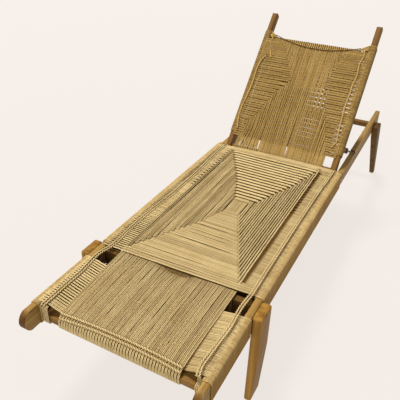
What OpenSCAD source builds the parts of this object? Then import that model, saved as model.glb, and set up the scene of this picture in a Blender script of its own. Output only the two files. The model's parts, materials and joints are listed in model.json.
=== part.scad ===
// Chaise lounge with a timber frame, a woven paper cord seat and a propped, hinged backrest.
// X runs across the lounge, +Y runs from the foot end to the head end, +Z is up and the floor is z = 0.
// A station is a distance along the lounge, measured from the round noses of the side rails.

/* [Side rails] */
// Length of a side rail, round nose included
rail_length = 1965; // [1850:1:2150]
// Height of a side rail's section
rail_height = 69; // [60:1:80]
// Thickness of a side rail's section
rail_thickness = 22; // [20:1:28]
// Distance across the outer faces of both side rails
frame_width = 552; // [520:1:620]
// Height of the side rails' top edges above the floor
top_height = 338; // [300:1:400]
// Radius on the long edges of the rails
rail_edge_r = 5; // [2:0.5:8]
// Depth of the lowered track that the prop rod slides on
track_depth = 12; // [8:0.5:16]
// Length of that track, up to the step that stops the rod
track_length = 220; // [190:1:260]

/* [Weave] */
// Diameter of the paper cord
cord_d = 4; // [3:0.1:5]
// Bare length of the rails before the first turn of cord
bare_nose = 55; // [45:1:80]
// Length of cord wound round the rails at the foot
foot_wrap_length = 234; // [200:1:260]
// Bare length of rail behind each front leg's top
leg_gap = 84; // [78:1:100]
// Length of cord wound round the rails along the seat
seat_wrap_length = 830; // [780:1:900]
// Width of the lengthwise cords between the side strips
panel_width = 380; // [340:1:400]
// Thickness of the crossing layers of the seat
seat_weave_t = 12; // [8:1:14]
// Diameter of the twined double cord along each edge
rope_d = 8; // [6:0.5:9]
// Width of the cord lashing on the left end of the foot rail
lashing_left_w = 26; // [12:1:30]
// Width of the cord lashing on the right end of the foot rail
lashing_right_w = 15; // [12:1:30]

/* [Cross rails] */
// Depth of the foot rail along the lounge
foot_rail_depth = 40; // [30:1:45]
// Height of the foot rail's section
foot_rail_height = 23; // [18:1:26]
// Drop from the side rails' tops to the foot rail's top
foot_rail_drop = 35; // [28:1:38]
// Setback of the foot rail from the first turn of cord
foot_rail_setback = 5; // [5:0.5:12]
// Thickness of the two rails under the seat
seat_rail_thickness = 22; // [18:1:26]
// Drop from the side rails' tops to the seat rails' tops
seat_rail_drop = 12; // [10:1:16]
// Distance from the seat's rear rail to the end of the cord
seat_rear_setback = 14; // [14:1:20]
// Depth of the rear rail along the lounge
rear_rail_depth = 34; // [26:1:40]
// Height of the rear rail's section
rear_rail_height = 22; // [18:1:24]
// Distance from the rear rail to the ends of the side rails
rear_rail_inset = 45; // [20:1:60]
// Length of the tenon on each end of a cross rail
tenon_length = 14; // [8:1:16]
// Width of the shoulder round every tenon
tenon_shoulder = 5; // [3:0.5:6]

/* [Legs] */
// Distance from the foot's last turn of cord back to a front leg
front_leg_setback = 6; // [1:0.5:10]
// Width of a front leg at the floor
front_foot_w = 70; // [50:1:76]
// Forward rake of a front leg, from its top to the floor
front_leg_rake = 2; // [0:1:20]
// Width of a rear leg at its top
rear_leg_w = 74; // [60:1:84]
// Width of a rear leg at the floor
rear_foot_w = 36; // [32:1:70]
// Backward rake of a rear leg, from its top to the floor
rear_leg_rake = 84; // [30:1:84]
// Outward splay of a rear leg, from the side rail to the floor
rear_leg_splay = 18; // [0:1:24]
// Thickness of a leg at its top
leg_thickness = 30; // [22:1:34]
// Thickness of a leg at the floor
foot_thickness = 22; // [18:1:30]
// Distance from a rear leg's top to the side rails' ends
rear_leg_inset = 84; // [75:1:120]
// Drop from the side rails' tops to the rear legs' tops
rear_leg_drop = 26; // [6:1:30]
// Radius on a leg's edges
leg_edge_r = 7; // [4:0.5:9]
// Diameter of the screws that hold the legs
leg_screw_d = 6; // [5:0.5:8]
// Distance from the edges of a leg's joint to its screws
leg_screw_edge = 18; // [14:1:22]
// Drop from the side rails' lower edges to the bend in a rear leg
rear_knee_drop = 10; // [0:1:30]

/* [Backrest] */
// Angle of the backrest above the seat, with the rod against the step
back_angle = 47.5; // [44:0.5:50]
// Length of a stile from the pivot to its tip
stile_length = 682; // [620:1:720]
// Thickness of a stile across the lounge
stile_thickness = 24; // [20:1:28]
// Depth of a stile, front to back
stile_depth = 36; // [32:1:38]
// Distance from the end of the seat's cord back to the pivot
pivot_setback = 17; // [17:1:24]
// Height of the pivot below the side rails' tops
pivot_drop = 35; // [32:1:37]
// Diameter of the pivot pins
pivot_d = 10; // [8:0.5:12]
// Gap between a stile and a side rail, filled by the spacer
pivot_spacer_t = 6; // [5.5:0.5:8]
// Distance from the pivot to the first turn of cord on a stile
stile_wrap_from = 92; // [88:1:110]
// Distance from the pivot to the last turn of cord on a stile
stile_wrap_to = 590; // [575:1:600]
// Distance from the pivot to the top edge of the top rail
top_rail_at = 562; // [540:1:568]
// Width of the top and lower rails of the backrest
back_rail_w = 30; // [24:1:34]
// Thickness of the top and lower rails of the backrest
back_rail_t = 22; // [16:1:26]
// Distance from the pivot to the lower rail's lower edge
lower_rail_at = 6; // [4:1:10]
// Sag of the twined cord across the top of the backrest
top_rope_sag = 38; // [20:1:50]

/* [Prop] */
// Distance from the pivot to the prop's hinge along a stile
prop_hinge_at = 137; // [130:1:145]
// Distance from a stile's middle back to the prop's hinge
prop_hinge_back = 34; // [33:1:36]
// Thickness of a prop arm across the lounge
prop_arm_t = 16; // [12:1:18]
// Depth of a prop arm
prop_arm_depth = 24; // [20:1:24]
// Diameter of the prop rod
prop_rod_d = 8; // [7:0.5:9]
// Diameter of the prop's hinge pins
prop_pin_d = 6; // [5:0.5:7]
// Thickness of the steel of a hinge bracket
bracket_t = 2; // [1.5:0.5:3]
// Length of a hinge bracket along the stile
bracket_length = 30; // [24:1:36]

/* [Clearances] */
// Gap where a piece seats on or beside another
seat_gap = 0.3; // [0.2:0.05:0.5]
// Radial clearance round a pin that turns
running_gap = 0.1; // [0.05:0.01:0.1]

/* [Hidden] */
$fn = 64;
ball_fn = 32;
timber = "#9c6d38";
dark_timber = "#6f4526";
cord_colour = "#cdb27c";
steel = "#8d8a84";
brass = "#b08d4a";

rail_x = frame_width / 2 - rail_thickness;
rail_r = rail_height / 2;
rail_foot_z = top_height - rail_height;
foot_wrap_from = bare_nose;
foot_wrap_to = foot_wrap_from + foot_wrap_length;
seat_wrap_from = foot_wrap_to + leg_gap;
seat_wrap_to = seat_wrap_from + seat_wrap_length;
pivot_at = seat_wrap_to + pivot_setback;
pivot_z = top_height - pivot_drop;
track_from = pivot_at;
track_to = track_from + track_length;
track_z = top_height - track_depth;
strip_top = top_height;
strip_t = cord_d;
panel_half = panel_width / 2;

foot_rail_from = foot_wrap_from + foot_rail_setback;
foot_rail_top = top_height - foot_rail_drop;
front_rail_to = seat_wrap_from - 2;
front_rail_from = front_rail_to - seat_rail_thickness;
seat_rear_from = seat_wrap_to - seat_rear_setback - seat_rail_thickness;
seat_rail_top = top_height - seat_rail_drop;
seat_rail_height = seat_rail_top - rail_foot_z;
rear_rail_from = rail_length - rear_rail_inset - rear_rail_depth;
rear_rail_top = rail_foot_z + rear_rail_height + 1;

stile_x = rail_x - pivot_spacer_t - stile_thickness;
stile_mid_x = stile_x + stile_thickness / 2;
stile_r = stile_depth / 2;
wrap_n = stile_r + cord_d;
back_rail_half = back_rail_t / 2;
back_strip_top = wrap_n;
back_rope_x = stile_x - cord_d - rope_d / 2 - seat_gap;

// The rod's middle, as (station, z): seated on the track and against its step.
rod_at = [track_to - prop_rod_d / 2 - seat_gap, track_z + prop_rod_d / 2 + seat_gap];
// The prop's hinge, as (station, z).
hinge_at = [
    pivot_at + prop_hinge_at * cos(back_angle) + prop_hinge_back * sin(back_angle),
    pivot_z + prop_hinge_at * sin(back_angle) - prop_hinge_back * cos(back_angle)
];
prop_length = norm(rod_at - hinge_at);
prop_slope = atan2(hinge_at[1] - rod_at[1], rod_at[0] - hinge_at[0]);

function place(station) = station - rail_length / 2;
function flank(side) = side < 0 ? [1, 0, 0] : [0, 0, 0];

// Mirrors a right-hand piece to the left when side is -1.
module on_side(side) {
    mirror(flank(side)) children();
}

// Extrudes an outline of (station, z) points across the lounge, from x0 over a thickness t.
module across(x0, t) {
    translate([x0, place(0), 0]) rotate([90, 0, 90]) linear_extrude(t) children();
}

// Extrudes an outline of (x, z) points along the lounge, between two stations.
module along(from, to) {
    translate([0, place(to), 0]) rotate([90, 0, 0]) linear_extrude(to - from) children();
}

// Puts a piece drawn as (x, along the stile, out of the back's front face) on the leaning backrest.
module on_back() {
    translate([0, place(pivot_at), pivot_z]) rotate([back_angle, 0, 0]) children();
}

// Extrudes an outline of (x, n) points along the stiles, between two distances from the pivot.
module up_back(from, to) {
    translate([0, to, 0]) rotate([90, 0, 0]) linear_extrude(to - from) children();
}

// Rectangle with true arcs at its corners, from its low corner.
module round_rect(low, size, r) {
    translate(low + [r, 0]) square([size[0] - 2 * r, size[1]]);
    translate(low + [0, r]) square([size[0], size[1] - 2 * r]);
    for (u = [r, size[0] - r], v = [r, size[1] - r]) {
        translate(low + [u, v]) circle(r);
    }
}

// A layer of cord, one cord thick, round a section given by its low corner, size and edge radius.
module cord_ring(low, size, r) {
    gap = seat_gap / 2;
    difference() {
        round_rect(low - [cord_d, cord_d], size + [2 * cord_d, 2 * cord_d], r + cord_d);
        round_rect(low - [gap, gap], size + [2 * gap, 2 * gap], r);
    }
}

// Outline of a side rail: a half-round nose, a straight board and the prop's lowered track.
module side_rail_outline() {
    difference() {
        union() {
            translate([rail_r, top_height - rail_r]) circle(rail_r);
            translate([rail_r, rail_foot_z]) square([rail_length - rail_r, rail_height]);
        }
        translate([track_from, track_z]) square([track_length, track_depth + 1]);
    }
}

module mortise(from, depth, low_z, height) {
    gap = seat_gap / 2;
    edge = tenon_shoulder - gap;
    translate([rail_x - 1, place(from + edge), low_z + edge])
        cube([tenon_length + 1 + gap, depth - 2 * edge, height - 2 * edge]);
}

module side_rail() {
    difference() {
        intersection() {
            across(rail_x, rail_thickness) side_rail_outline();
            along(0, rail_length)
                round_rect([rail_x, rail_foot_z], [rail_thickness, rail_height], rail_edge_r);
        }
        mortise(foot_rail_from, foot_rail_depth, foot_rail_top - foot_rail_height, foot_rail_height);
        mortise(front_rail_from, seat_rail_thickness, rail_foot_z, seat_rail_height);
        mortise(seat_rear_from, seat_rail_thickness, rail_foot_z, seat_rail_height);
        mortise(rear_rail_from, rear_rail_depth, rear_rail_top - rear_rail_height, rear_rail_height);
        pivot_bore(rail_x - 1, rail_thickness + 2);
        for (at = front_screws) screw_hole(at);
        for (at = rear_screws) screw_hole(at);
    }
}

module pivot_bore(x0, length) {
    translate([x0, place(pivot_at), pivot_z]) rotate([0, 90, 0])
        cylinder(h = length, d = pivot_d + 2 * running_gap);
}

// Cross rail between the side rails, with a tenon on each end.
module cross_rail(from, depth, low_z, height) {
    edge = tenon_shoulder;
    half = rail_x - seat_gap / 2;
    across(-half, 2 * half) round_rect([from, low_z], [depth, height], 3);
    for (side = [-1, 1]) on_side(side)
        across(half - 1, tenon_length - seat_gap + 1)
            translate([from + edge, low_z + edge]) square([depth - 2 * edge, height - 2 * edge]);
}

module foot_rail() {
    color(timber)
        cross_rail(foot_rail_from, foot_rail_depth, foot_rail_top - foot_rail_height, foot_rail_height);
}

module seat_front_rail() {
    color(timber) cross_rail(front_rail_from, seat_rail_thickness, rail_foot_z, seat_rail_height);
}

module seat_rear_rail() {
    color(timber) cross_rail(seat_rear_from, seat_rail_thickness, rail_foot_z, seat_rail_height);
}

module rear_rail() {
    color(timber)
        cross_rail(rear_rail_from, rear_rail_depth, rear_rail_top - rear_rail_height, rear_rail_height);
}

// Legs are boards on the rails' outer faces; each level is [z, from, to, splay, thickness], the
// second and third as stations. A front leg clears the foot's turns of cord as it rakes forward.
wrap_foot_z = rail_foot_z - cord_d;
front_leg_from = foot_wrap_to + front_leg_setback
    + front_leg_rake * (top_height - wrap_foot_z) / top_height;
front_leg_to = seat_wrap_from - 2;
front_leg_w = front_leg_to - front_leg_from;
front_knee_z = 0.56 * top_height;
front_foot_from = front_leg_from - front_leg_rake;
front_levels = [
    [top_height, front_leg_from, front_leg_to, 0, leg_thickness],
    [front_knee_z, front_leg_from - 0.4 * front_leg_rake, front_leg_to + 1, 0, leg_thickness],
    [0, front_foot_from, front_foot_from + front_foot_w, 0, foot_thickness]
];
rear_leg_to = rail_length - rear_leg_inset;
rear_leg_from = rear_leg_to - rear_leg_w;
rear_leg_top = top_height - rear_leg_drop;
rear_foot_to = rear_leg_to + rear_leg_rake;
rear_knee_z = rail_foot_z - rear_knee_drop;
rear_levels = [
    [rear_leg_top, rear_leg_from, rear_leg_to, 0, leg_thickness],
    [rear_knee_z, rear_leg_from + 0.12 * rear_leg_rake, rear_leg_to + 0.14 * rear_leg_rake, 0, leg_thickness],
    [0, rear_foot_to - rear_foot_w, rear_foot_to, rear_leg_splay, foot_thickness]
];
leg_x = rail_x + rail_thickness;
front_screws = [
    [front_leg_from + 0.22 * front_leg_w, top_height - leg_screw_edge],
    [front_leg_from + 0.5 * front_leg_w, rail_foot_z + leg_screw_edge]
];
rear_screws = [
    [rear_leg_from + 0.25 * rear_leg_w, rear_leg_top - leg_screw_edge],
    [rear_leg_from + 0.75 * rear_leg_w, rail_foot_z + leg_screw_edge]
];
screw_reach = leg_thickness - 8;

module leg(levels) {
    r = leg_edge_r;
    foot_bevel = 3;
    hull() for (level = levels) {
        inner = leg_x + level[3];
        for (s = [level[1] + r, level[2] - r], x = [inner + r, inner + level[4] - r])
            if (level[0] == 0)
                translate([x, place(s), 0])
                    cylinder(h = foot_bevel, r1 = r - foot_bevel, r2 = r, $fn = ball_fn);
            else
                translate([x, place(s), min(level[0], levels[0][0] - r)]) sphere(r, $fn = ball_fn);
    }
}

module screw_hole(at) {
    translate([rail_x - 1, place(at[0]), at[1]]) rotate([0, 90, 0])
        cylinder(h = rail_thickness + screw_reach + 1, d = leg_screw_d + 2 * running_gap);
}

module leg_screw(at) {
    head_h = 4;
    translate([rail_x - head_h, place(at[0]), at[1]]) rotate([0, 90, 0]) {
        cylinder(h = head_h, d = 2 * leg_screw_d);
        cylinder(h = head_h + rail_thickness + screw_reach - 1, d = leg_screw_d);
    }
}

module leg_with_holes(levels, screws) {
    difference() {
        leg(levels);
        for (at = screws) screw_hole(at);
    }
}

module leg_screws(screws) {
    color(steel) for (side = [-1, 1], at = screws) on_side(side) leg_screw(at);
}

// One stile of the backrest: round foot at the pivot, rounded long edges and a softened tip.
module back_stile() {
    tip_r = 8;
    difference() {
        on_back() intersection() {
            up_back(-stile_r, stile_length)
                round_rect([stile_x, -stile_r], [stile_thickness, stile_depth], rail_edge_r);
            translate([stile_x, 0, 0]) rotate([90, 0, 90]) linear_extrude(stile_thickness) {
                circle(stile_r);
                translate([0, -stile_r]) square([stile_length - tip_r, stile_depth]);
                translate([0, tip_r - stile_r]) square([stile_length, stile_depth - 2 * tip_r]);
                for (n = [tip_r - stile_r, stile_r - tip_r]) translate([stile_length - tip_r, n]) circle(tip_r);
            }
        }
        pivot_bore(stile_mid_x - 6, stile_thickness);
        on_back() for (from = [lower_rail_at, top_rail_at - back_rail_w]) back_mortise(from);
    }
}

module back_mortise(from) {
    gap = seat_gap / 2;
    edge = tenon_shoulder - gap;
    reach = stile_thickness / 3;
    translate([stile_x - 1, from + edge, edge - back_rail_half])
        cube([reach + 1 + gap, back_rail_w - 2 * edge, back_rail_t - 2 * edge]);
}

module back_rail(from) {
    half = stile_x - seat_gap / 2;
    edge = tenon_shoulder;
    reach = stile_thickness / 3;
    on_back() {
        translate([-half, 0, 0]) rotate([90, 0, 90]) linear_extrude(2 * half)
            round_rect([from, -back_rail_half], [back_rail_w, back_rail_t], 4);
        for (side = [-1, 1]) on_side(side)
            translate([half - 1, from + edge, edge - back_rail_half])
                cube([reach + 1 - seat_gap, back_rail_w - 2 * edge, back_rail_t - 2 * edge]);
    }
}

module pivot_pin() {
    head_h = 4;
    outer = rail_x + rail_thickness;
    translate([0, place(pivot_at), pivot_z]) rotate([0, 90, 0]) {
        translate([0, 0, stile_mid_x - 6 + seat_gap])
            cylinder(h = outer - stile_mid_x + 6 - seat_gap, d = pivot_d);
        translate([0, 0, outer]) cylinder(h = head_h, d = 2 * pivot_d);
    }
}

module pivot_spacer() {
    translate([stile_x + stile_thickness + seat_gap / 2, place(pivot_at), pivot_z]) rotate([0, 90, 0])
        difference() {
            cylinder(h = pivot_spacer_t - seat_gap, d = 2.4 * pivot_d);
            translate([0, 0, -1]) cylinder(h = pivot_spacer_t + 2, d = pivot_d + 2 * running_gap);
        }
}

// Steel bracket on the back of a stile: a base plate and two ears that hold the prop's pin.
bracket_half_x = prop_arm_t / 2 + seat_gap + bracket_t;
ear_r = prop_pin_d / 2 + 4;

module prop_bracket() {
    on_back() difference() {
        union() {
            translate([stile_mid_x - bracket_half_x, prop_hinge_at - bracket_length / 2, -stile_r - bracket_t])
                cube([2 * bracket_half_x, bracket_length, bracket_t]);
            for (x = [stile_mid_x - bracket_half_x, stile_mid_x + bracket_half_x - bracket_t])
                translate([x, 0, 0]) rotate([90, 0, 90]) linear_extrude(bracket_t) {
                    translate([prop_hinge_at, -prop_hinge_back]) circle(ear_r);
                    translate([prop_hinge_at - ear_r, -prop_hinge_back])
                        square([2 * ear_r, prop_hinge_back - stile_r - bracket_t / 2]);
                }
        }
        translate([stile_x - 5, prop_hinge_at, -prop_hinge_back]) rotate([0, 90, 0])
            cylinder(h = stile_thickness + 10, d = prop_pin_d + 2 * running_gap);
    }
}

module prop_hinge_pin() {
    head_h = 1.5;
    half = bracket_half_x + seat_gap;
    on_back() translate([stile_mid_x, prop_hinge_at, -prop_hinge_back]) rotate([0, 90, 0]) {
        translate([0, 0, -half]) cylinder(h = 2 * half, d = prop_pin_d);
        for (z = [-half - head_h, half]) translate([0, 0, z]) cylinder(h = head_h, d = prop_pin_d + 3);
    }
}

module prop_arm() {
    r = prop_arm_depth / 2;
    gap = running_gap;
    difference() {
        translate([stile_mid_x - prop_arm_t / 2, place(hinge_at[0]), hinge_at[1]])
            rotate([-prop_slope, 0, 0]) rotate([90, 0, 90]) linear_extrude(prop_arm_t) {
                circle(r - 1);
                translate([prop_length, 0]) circle(r);
                polygon([[0, 1 - r], [prop_length, -r], [prop_length, r], [0, r - 1]]);
            }
        translate([0, place(hinge_at[0]), hinge_at[1]]) rotate([0, 90, 0])
            cylinder(h = frame_width, d = prop_pin_d + 2 * gap);
        translate([0, place(rod_at[0]), rod_at[1]]) rotate([0, 90, 0])
            cylinder(h = frame_width, d = prop_rod_d + 2 * gap);
    }
}

module prop_rod() {
    half = frame_width / 2 - 5;
    color(steel) translate([-half, place(rod_at[0]), rod_at[1]]) rotate([0, 90, 0])
        cylinder(h = 2 * half, d = prop_rod_d);
}

// Close turns of cord round a side rail between two stations, open where a cross rail meets the rail.
module rail_wrap(from, to, cross_from, cross_depth, cross_low, cross_height) {
    color(cord_colour) difference() {
        along(from, to) cord_ring([rail_x, rail_foot_z], [rail_thickness, rail_height], rail_edge_r);
        translate([rail_x - 2 * cord_d, place(cross_from) - seat_gap, cross_low - seat_gap])
            cube([2 * cord_d + 0.5, cross_depth + 2 * seat_gap, cross_height + 2 * seat_gap]);
    }
}

module foot_wrap() {
    rail_wrap(foot_wrap_from, foot_wrap_to, foot_rail_from, foot_rail_depth,
        foot_rail_top - foot_rail_height, foot_rail_height);
}

module seat_wrap() {
    rail_wrap(seat_wrap_from, seat_wrap_to, seat_rear_from, seat_rail_thickness,
        rail_foot_z, seat_rail_height);
}

// Crosswise cords between a side rail and the lengthwise cords, flat along the seat.
strip_x0 = panel_half + seat_gap;
strip_x1 = rail_x - cord_d - seat_gap;

module seat_side_strip() {
    color(cord_colour) translate([strip_x0, place(seat_wrap_from), strip_top - strip_t])
        cube([strip_x1 - strip_x0, seat_wrap_length, strip_t]);
}

// The same cords at the foot, where their inner ends drop to the lower foot panel.
panel_low_z = foot_rail_top + cord_d;
panel_high_z = seat_rail_top + 1;
panel_from = foot_rail_from + foot_rail_depth - 2;
panel_to = front_rail_from - cord_d - seat_gap;

function panel_z(station) =
    panel_low_z + (panel_high_z - panel_low_z) * (station - panel_from) / (panel_to - panel_from);

module foot_side_strip() {
    from = foot_rail_from + foot_rail_depth + 2 * seat_gap + cord_d;
    points = [for (s = [from, foot_wrap_to]) each [
        [strip_x0, place(s), panel_z(s) - strip_t],
        [strip_x1, place(s), strip_top - strip_t],
        [strip_x1, place(s), strip_top],
        [strip_x0, place(s), panel_z(s)]
    ]];
    color(cord_colour) polyhedron(points = points, faces = [
        [0, 1, 2], [0, 2, 3], [4, 6, 5], [4, 7, 6],
        [0, 5, 1], [0, 4, 5], [1, 6, 2], [1, 5, 6],
        [2, 7, 3], [2, 6, 7], [3, 4, 0], [3, 7, 4]
    ]);
}

// Twined double cord on the outer ends of the crosswise cords, free over the leg's gap.
module edge_rope() {
    r = rope_d / 2;
    color(cord_colour) translate([strip_x1 - r, place(seat_wrap_to), strip_top + r + seat_gap])
        rotate([90, 0, 0]) cylinder(h = seat_wrap_to - foot_wrap_from, r = r);
}

// Lengthwise cords of the foot panel, looped over the foot rail and run back to the seat's front rail.
module foot_cord_panel() {
    color(cord_colour) across(-panel_half, panel_width) {
        cord_ring([foot_rail_from, foot_rail_top - foot_rail_height], [foot_rail_depth, foot_rail_height], 3);
        polygon([
            [panel_from, panel_low_z - cord_d + seat_gap], [panel_to, panel_high_z - cord_d],
            [panel_to, panel_high_z], [panel_from, panel_low_z]
        ]);
    }
}

module foot_twine_row() {
    r = 0.4 * rope_d;
    at = foot_rail_from + foot_rail_depth / 2;
    color(cord_colour) translate([-panel_half, place(at), panel_low_z + r + seat_gap])
        rotate([0, 90, 0]) cylinder(h = panel_width, r = r);
}

// Cords that bind an end of the foot rail, down its front and under it.
module foot_lashing(width) {
    x0 = rail_x - cord_d - seat_gap - width;
    under = foot_rail_top - foot_rail_height - seat_gap - cord_d;
    front = foot_rail_from - seat_gap - cord_d;
    color(cord_colour) {
        translate([x0, place(front), under]) cube([width, cord_d, strip_top - strip_t - under]);
        translate([x0, place(front), under])
            cube([width, foot_rail_depth + cord_d + seat_gap, cord_d]);
    }
}

// Loops of the seat's lengthwise cords round one of the rails under it.
module seat_rail_wrap(from) {
    color(cord_colour) across(-panel_half, panel_width)
        cord_ring([from, rail_foot_z], [seat_rail_thickness, seat_rail_height], 3);
}

// Crossing layers of the seat between the side strips, on the loops round the two rails.
module seat_cord_panel() {
    low = seat_rail_top + cord_d + seat_gap;
    color(cord_colour) along(seat_wrap_from - 4, seat_wrap_to)
        round_rect([-panel_half, low], [panel_width, seat_weave_t], 4);
}

// Cords that return under the seat from side rail to side rail, level with the undersides of the turns.
module seat_under_cords() {
    half = rail_x - cord_d - seat_gap;
    color(cord_colour)
        translate([-half, place(front_rail_to + cord_d + seat_gap), rail_foot_z - cord_d])
            cube([2 * half, seat_rear_from - front_rail_to - 2 * (cord_d + seat_gap), cord_d]);
}

// Cords that return under the foot panel, from the foot rail's loops to the seat's front rail.
module foot_under_cords() {
    from = foot_rail_from + foot_rail_depth + cord_d + seat_gap;
    to = front_rail_from - cord_d - seat_gap;
    from_z = foot_rail_top - foot_rail_height - cord_d;
    to_z = rail_foot_z - cord_d;
    color(cord_colour) across(-panel_half, panel_width)
        polygon([[from, from_z], [to, to_z], [to, to_z + cord_d], [from, from_z + cord_d]]);
}

// Close turns of cord round a stile, open round the top rail and the prop's bracket.
module stile_wrap() {
    color(cord_colour) on_back() difference() {
        up_back(stile_wrap_from, stile_wrap_to)
            cord_ring([stile_x, -stile_r], [stile_thickness, stile_depth], rail_edge_r);
        translate([stile_x - 2 * cord_d, top_rail_at - back_rail_w - seat_gap, -back_rail_half - seat_gap])
            cube([2 * cord_d + 0.5, back_rail_w + 2 * seat_gap, back_rail_t + 2 * seat_gap]);
        translate([stile_x - 2 * cord_d, prop_hinge_at - bracket_length / 2 - 1, -wrap_n - 1])
            cube([stile_thickness + 4 * cord_d, bracket_length + 2, cord_d + 1.5]);
    }
}

// Crosswise cords beside the stiles, level with the front of the wraps.
back_strip_x1 = stile_x - cord_d - seat_gap;

module back_side_strip() {
    from = stile_wrap_from;
    color(cord_colour) on_back()
        translate([panel_half + seat_gap, from, back_strip_top - 2 * strip_t])
            cube([back_strip_x1 - panel_half - seat_gap, top_rail_at - from, strip_t]);
}

module back_edge_rope() {
    r = rope_d / 2;
    color(cord_colour) on_back()
        translate([back_strip_x1 - r, top_rail_at, back_strip_top - strip_t + r + seat_gap])
            rotate([90, 0, 0]) cylinder(h = top_rail_at - stile_wrap_from, r = r);
}

// Loops of the backrest's cords round its top or lower rail.
module back_rail_wrap(from) {
    color(cord_colour) on_back() translate([-panel_half, 0, 0]) rotate([90, 0, 90])
        linear_extrude(panel_width) cord_ring([from, -back_rail_half], [back_rail_w, back_rail_t], 4);
}

// Lengthwise cords of the backrest, on the loops round its two rails.
back_panel_n = back_rail_half + cord_d + seat_gap;

module back_cord_panel() {
    color(cord_colour) on_back() translate([-panel_half, lower_rail_at, back_panel_n])
        cube([panel_width, top_rail_at - lower_rail_at, cord_d]);
}

// Crosswise cords behind the backrest, from stile to stile, where the turns' flat sides begin.
module back_rear_cords() {
    half = stile_x - cord_d - seat_gap;
    from = stile_wrap_from;
    to = top_rail_at - back_rail_w - cord_d - seat_gap;
    color(cord_colour) on_back()
        translate([-half, from, rail_edge_r - stile_r - cord_d]) cube([2 * half, to - from, cord_d]);
}

// Twined cord that sags across the front of the backrest below its top rail.
module back_top_rope() {
    half = panel_half - 4;
    sag_r = (half * half + top_rope_sag * top_rope_sag) / (2 * top_rope_sag);
    sweep = asin(half / sag_r);
    r = 0.4 * rope_d;
    color(cord_colour) on_back()
        translate([0, top_rail_at - r - top_rope_sag + sag_r, back_panel_n + cord_d + r + seat_gap])
            rotate([0, 0, 270 - sweep]) rotate_extrude(angle = 2 * sweep, $fn = 128)
                translate([sag_r, 0]) circle(r);
}

// Diagonal cords in the corner over the top rail, from the rail's cords up to the stile's last turn.
module back_shoulder() {
    low = top_rail_at + seat_gap;
    outer = stile_x - cord_d - seat_gap;
    inner = panel_half + seat_gap;
    color(cord_colour) on_back() translate([0, 0, -back_rail_half])
        linear_extrude(back_rail_t) polygon([
            [inner, low], [outer, low], [outer, stile_wrap_to], [outer - cord_d, stile_wrap_to]
        ]);
}

color(timber) on_side(-1) side_rail();  // side_rail_left
color(timber) on_side(1) side_rail();  // side_rail_right
foot_rail();
seat_front_rail();
seat_rear_rail();
rear_rail();
color(dark_timber) on_side(-1) leg_with_holes(front_levels, front_screws);  // leg_front_left
color(dark_timber) on_side(1) leg_with_holes(front_levels, front_screws);  // leg_front_right
color(dark_timber) on_side(-1) leg_with_holes(rear_levels, rear_screws);  // leg_rear_left
color(dark_timber) on_side(1) leg_with_holes(rear_levels, rear_screws);  // leg_rear_right
leg_screws(front_screws);  // leg_screws_front
leg_screws(rear_screws);  // leg_screws_rear
color(timber) on_side(-1) back_stile();  // back_stile_left
color(timber) on_side(1) back_stile();  // back_stile_right
color(timber) back_rail(top_rail_at - back_rail_w);  // back_top_rail
color(timber) back_rail(lower_rail_at);  // back_lower_rail
color(brass) for (side = [-1, 1]) on_side(side) pivot_pin();  // pivot_pins
color(brass) for (side = [-1, 1]) on_side(side) pivot_spacer();  // pivot_spacers
color(steel) on_side(-1) prop_bracket();  // prop_bracket_left
color(steel) on_side(1) prop_bracket();  // prop_bracket_right
color(timber) on_side(-1) prop_arm();  // prop_arm_left
color(timber) on_side(1) prop_arm();  // prop_arm_right
color(steel) for (side = [-1, 1]) on_side(side) prop_hinge_pin();  // prop_hinge_pins
prop_rod();
on_side(-1) foot_wrap();  // foot_wrap_left
on_side(1) foot_wrap();  // foot_wrap_right
on_side(-1) seat_wrap();  // seat_wrap_left
on_side(1) seat_wrap();  // seat_wrap_right
on_side(-1) foot_side_strip();  // foot_side_strip_left
on_side(1) foot_side_strip();  // foot_side_strip_right
on_side(-1) seat_side_strip();  // seat_side_strip_left
on_side(1) seat_side_strip();  // seat_side_strip_right
on_side(-1) edge_rope();  // edge_rope_left
on_side(1) edge_rope();  // edge_rope_right
foot_cord_panel();
foot_twine_row();
on_side(-1) foot_lashing(lashing_left_w);  // foot_lashing_left
on_side(1) foot_lashing(lashing_right_w);  // foot_lashing_right
seat_rail_wrap(front_rail_from);  // seat_front_wrap
seat_rail_wrap(seat_rear_from);  // seat_rear_wrap
seat_cord_panel();
on_side(-1) stile_wrap();  // stile_wrap_left
on_side(1) stile_wrap();  // stile_wrap_right
on_side(-1) back_side_strip();  // back_side_strip_left
on_side(1) back_side_strip();  // back_side_strip_right
on_side(-1) back_edge_rope();  // back_edge_rope_left
on_side(1) back_edge_rope();  // back_edge_rope_right
back_rail_wrap(lower_rail_at);  // back_lower_wrap
back_rail_wrap(top_rail_at - back_rail_w);  // back_top_wrap
back_cord_panel();
back_top_rope();
on_side(-1) back_shoulder();  // back_shoulder_left
on_side(1) back_shoulder();  // back_shoulder_right
seat_under_cords();
foot_under_cords();
back_rear_cords();
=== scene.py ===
"""The finished look of a timber chaise lounge with a woven paper cord seat.

The CAD frame gives the shape, place and motion of every piece. Wood and metal pieces keep their
CAD shape and get a procedural finish. The cord, which the CAD holds as plain sleeves, slabs and
bars, is modelled here turn by turn and pair by pair, in the same places.

Lengths are in metres. X runs across the lounge, +Y from the foot end to the head end, +Z up.
"""

import json
import logging
import math
from collections.abc import Sequence
from dataclasses import dataclass, field, replace
from enum import Enum

import bpy
import numpy as np
from mathutils import Matrix, Vector

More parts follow.
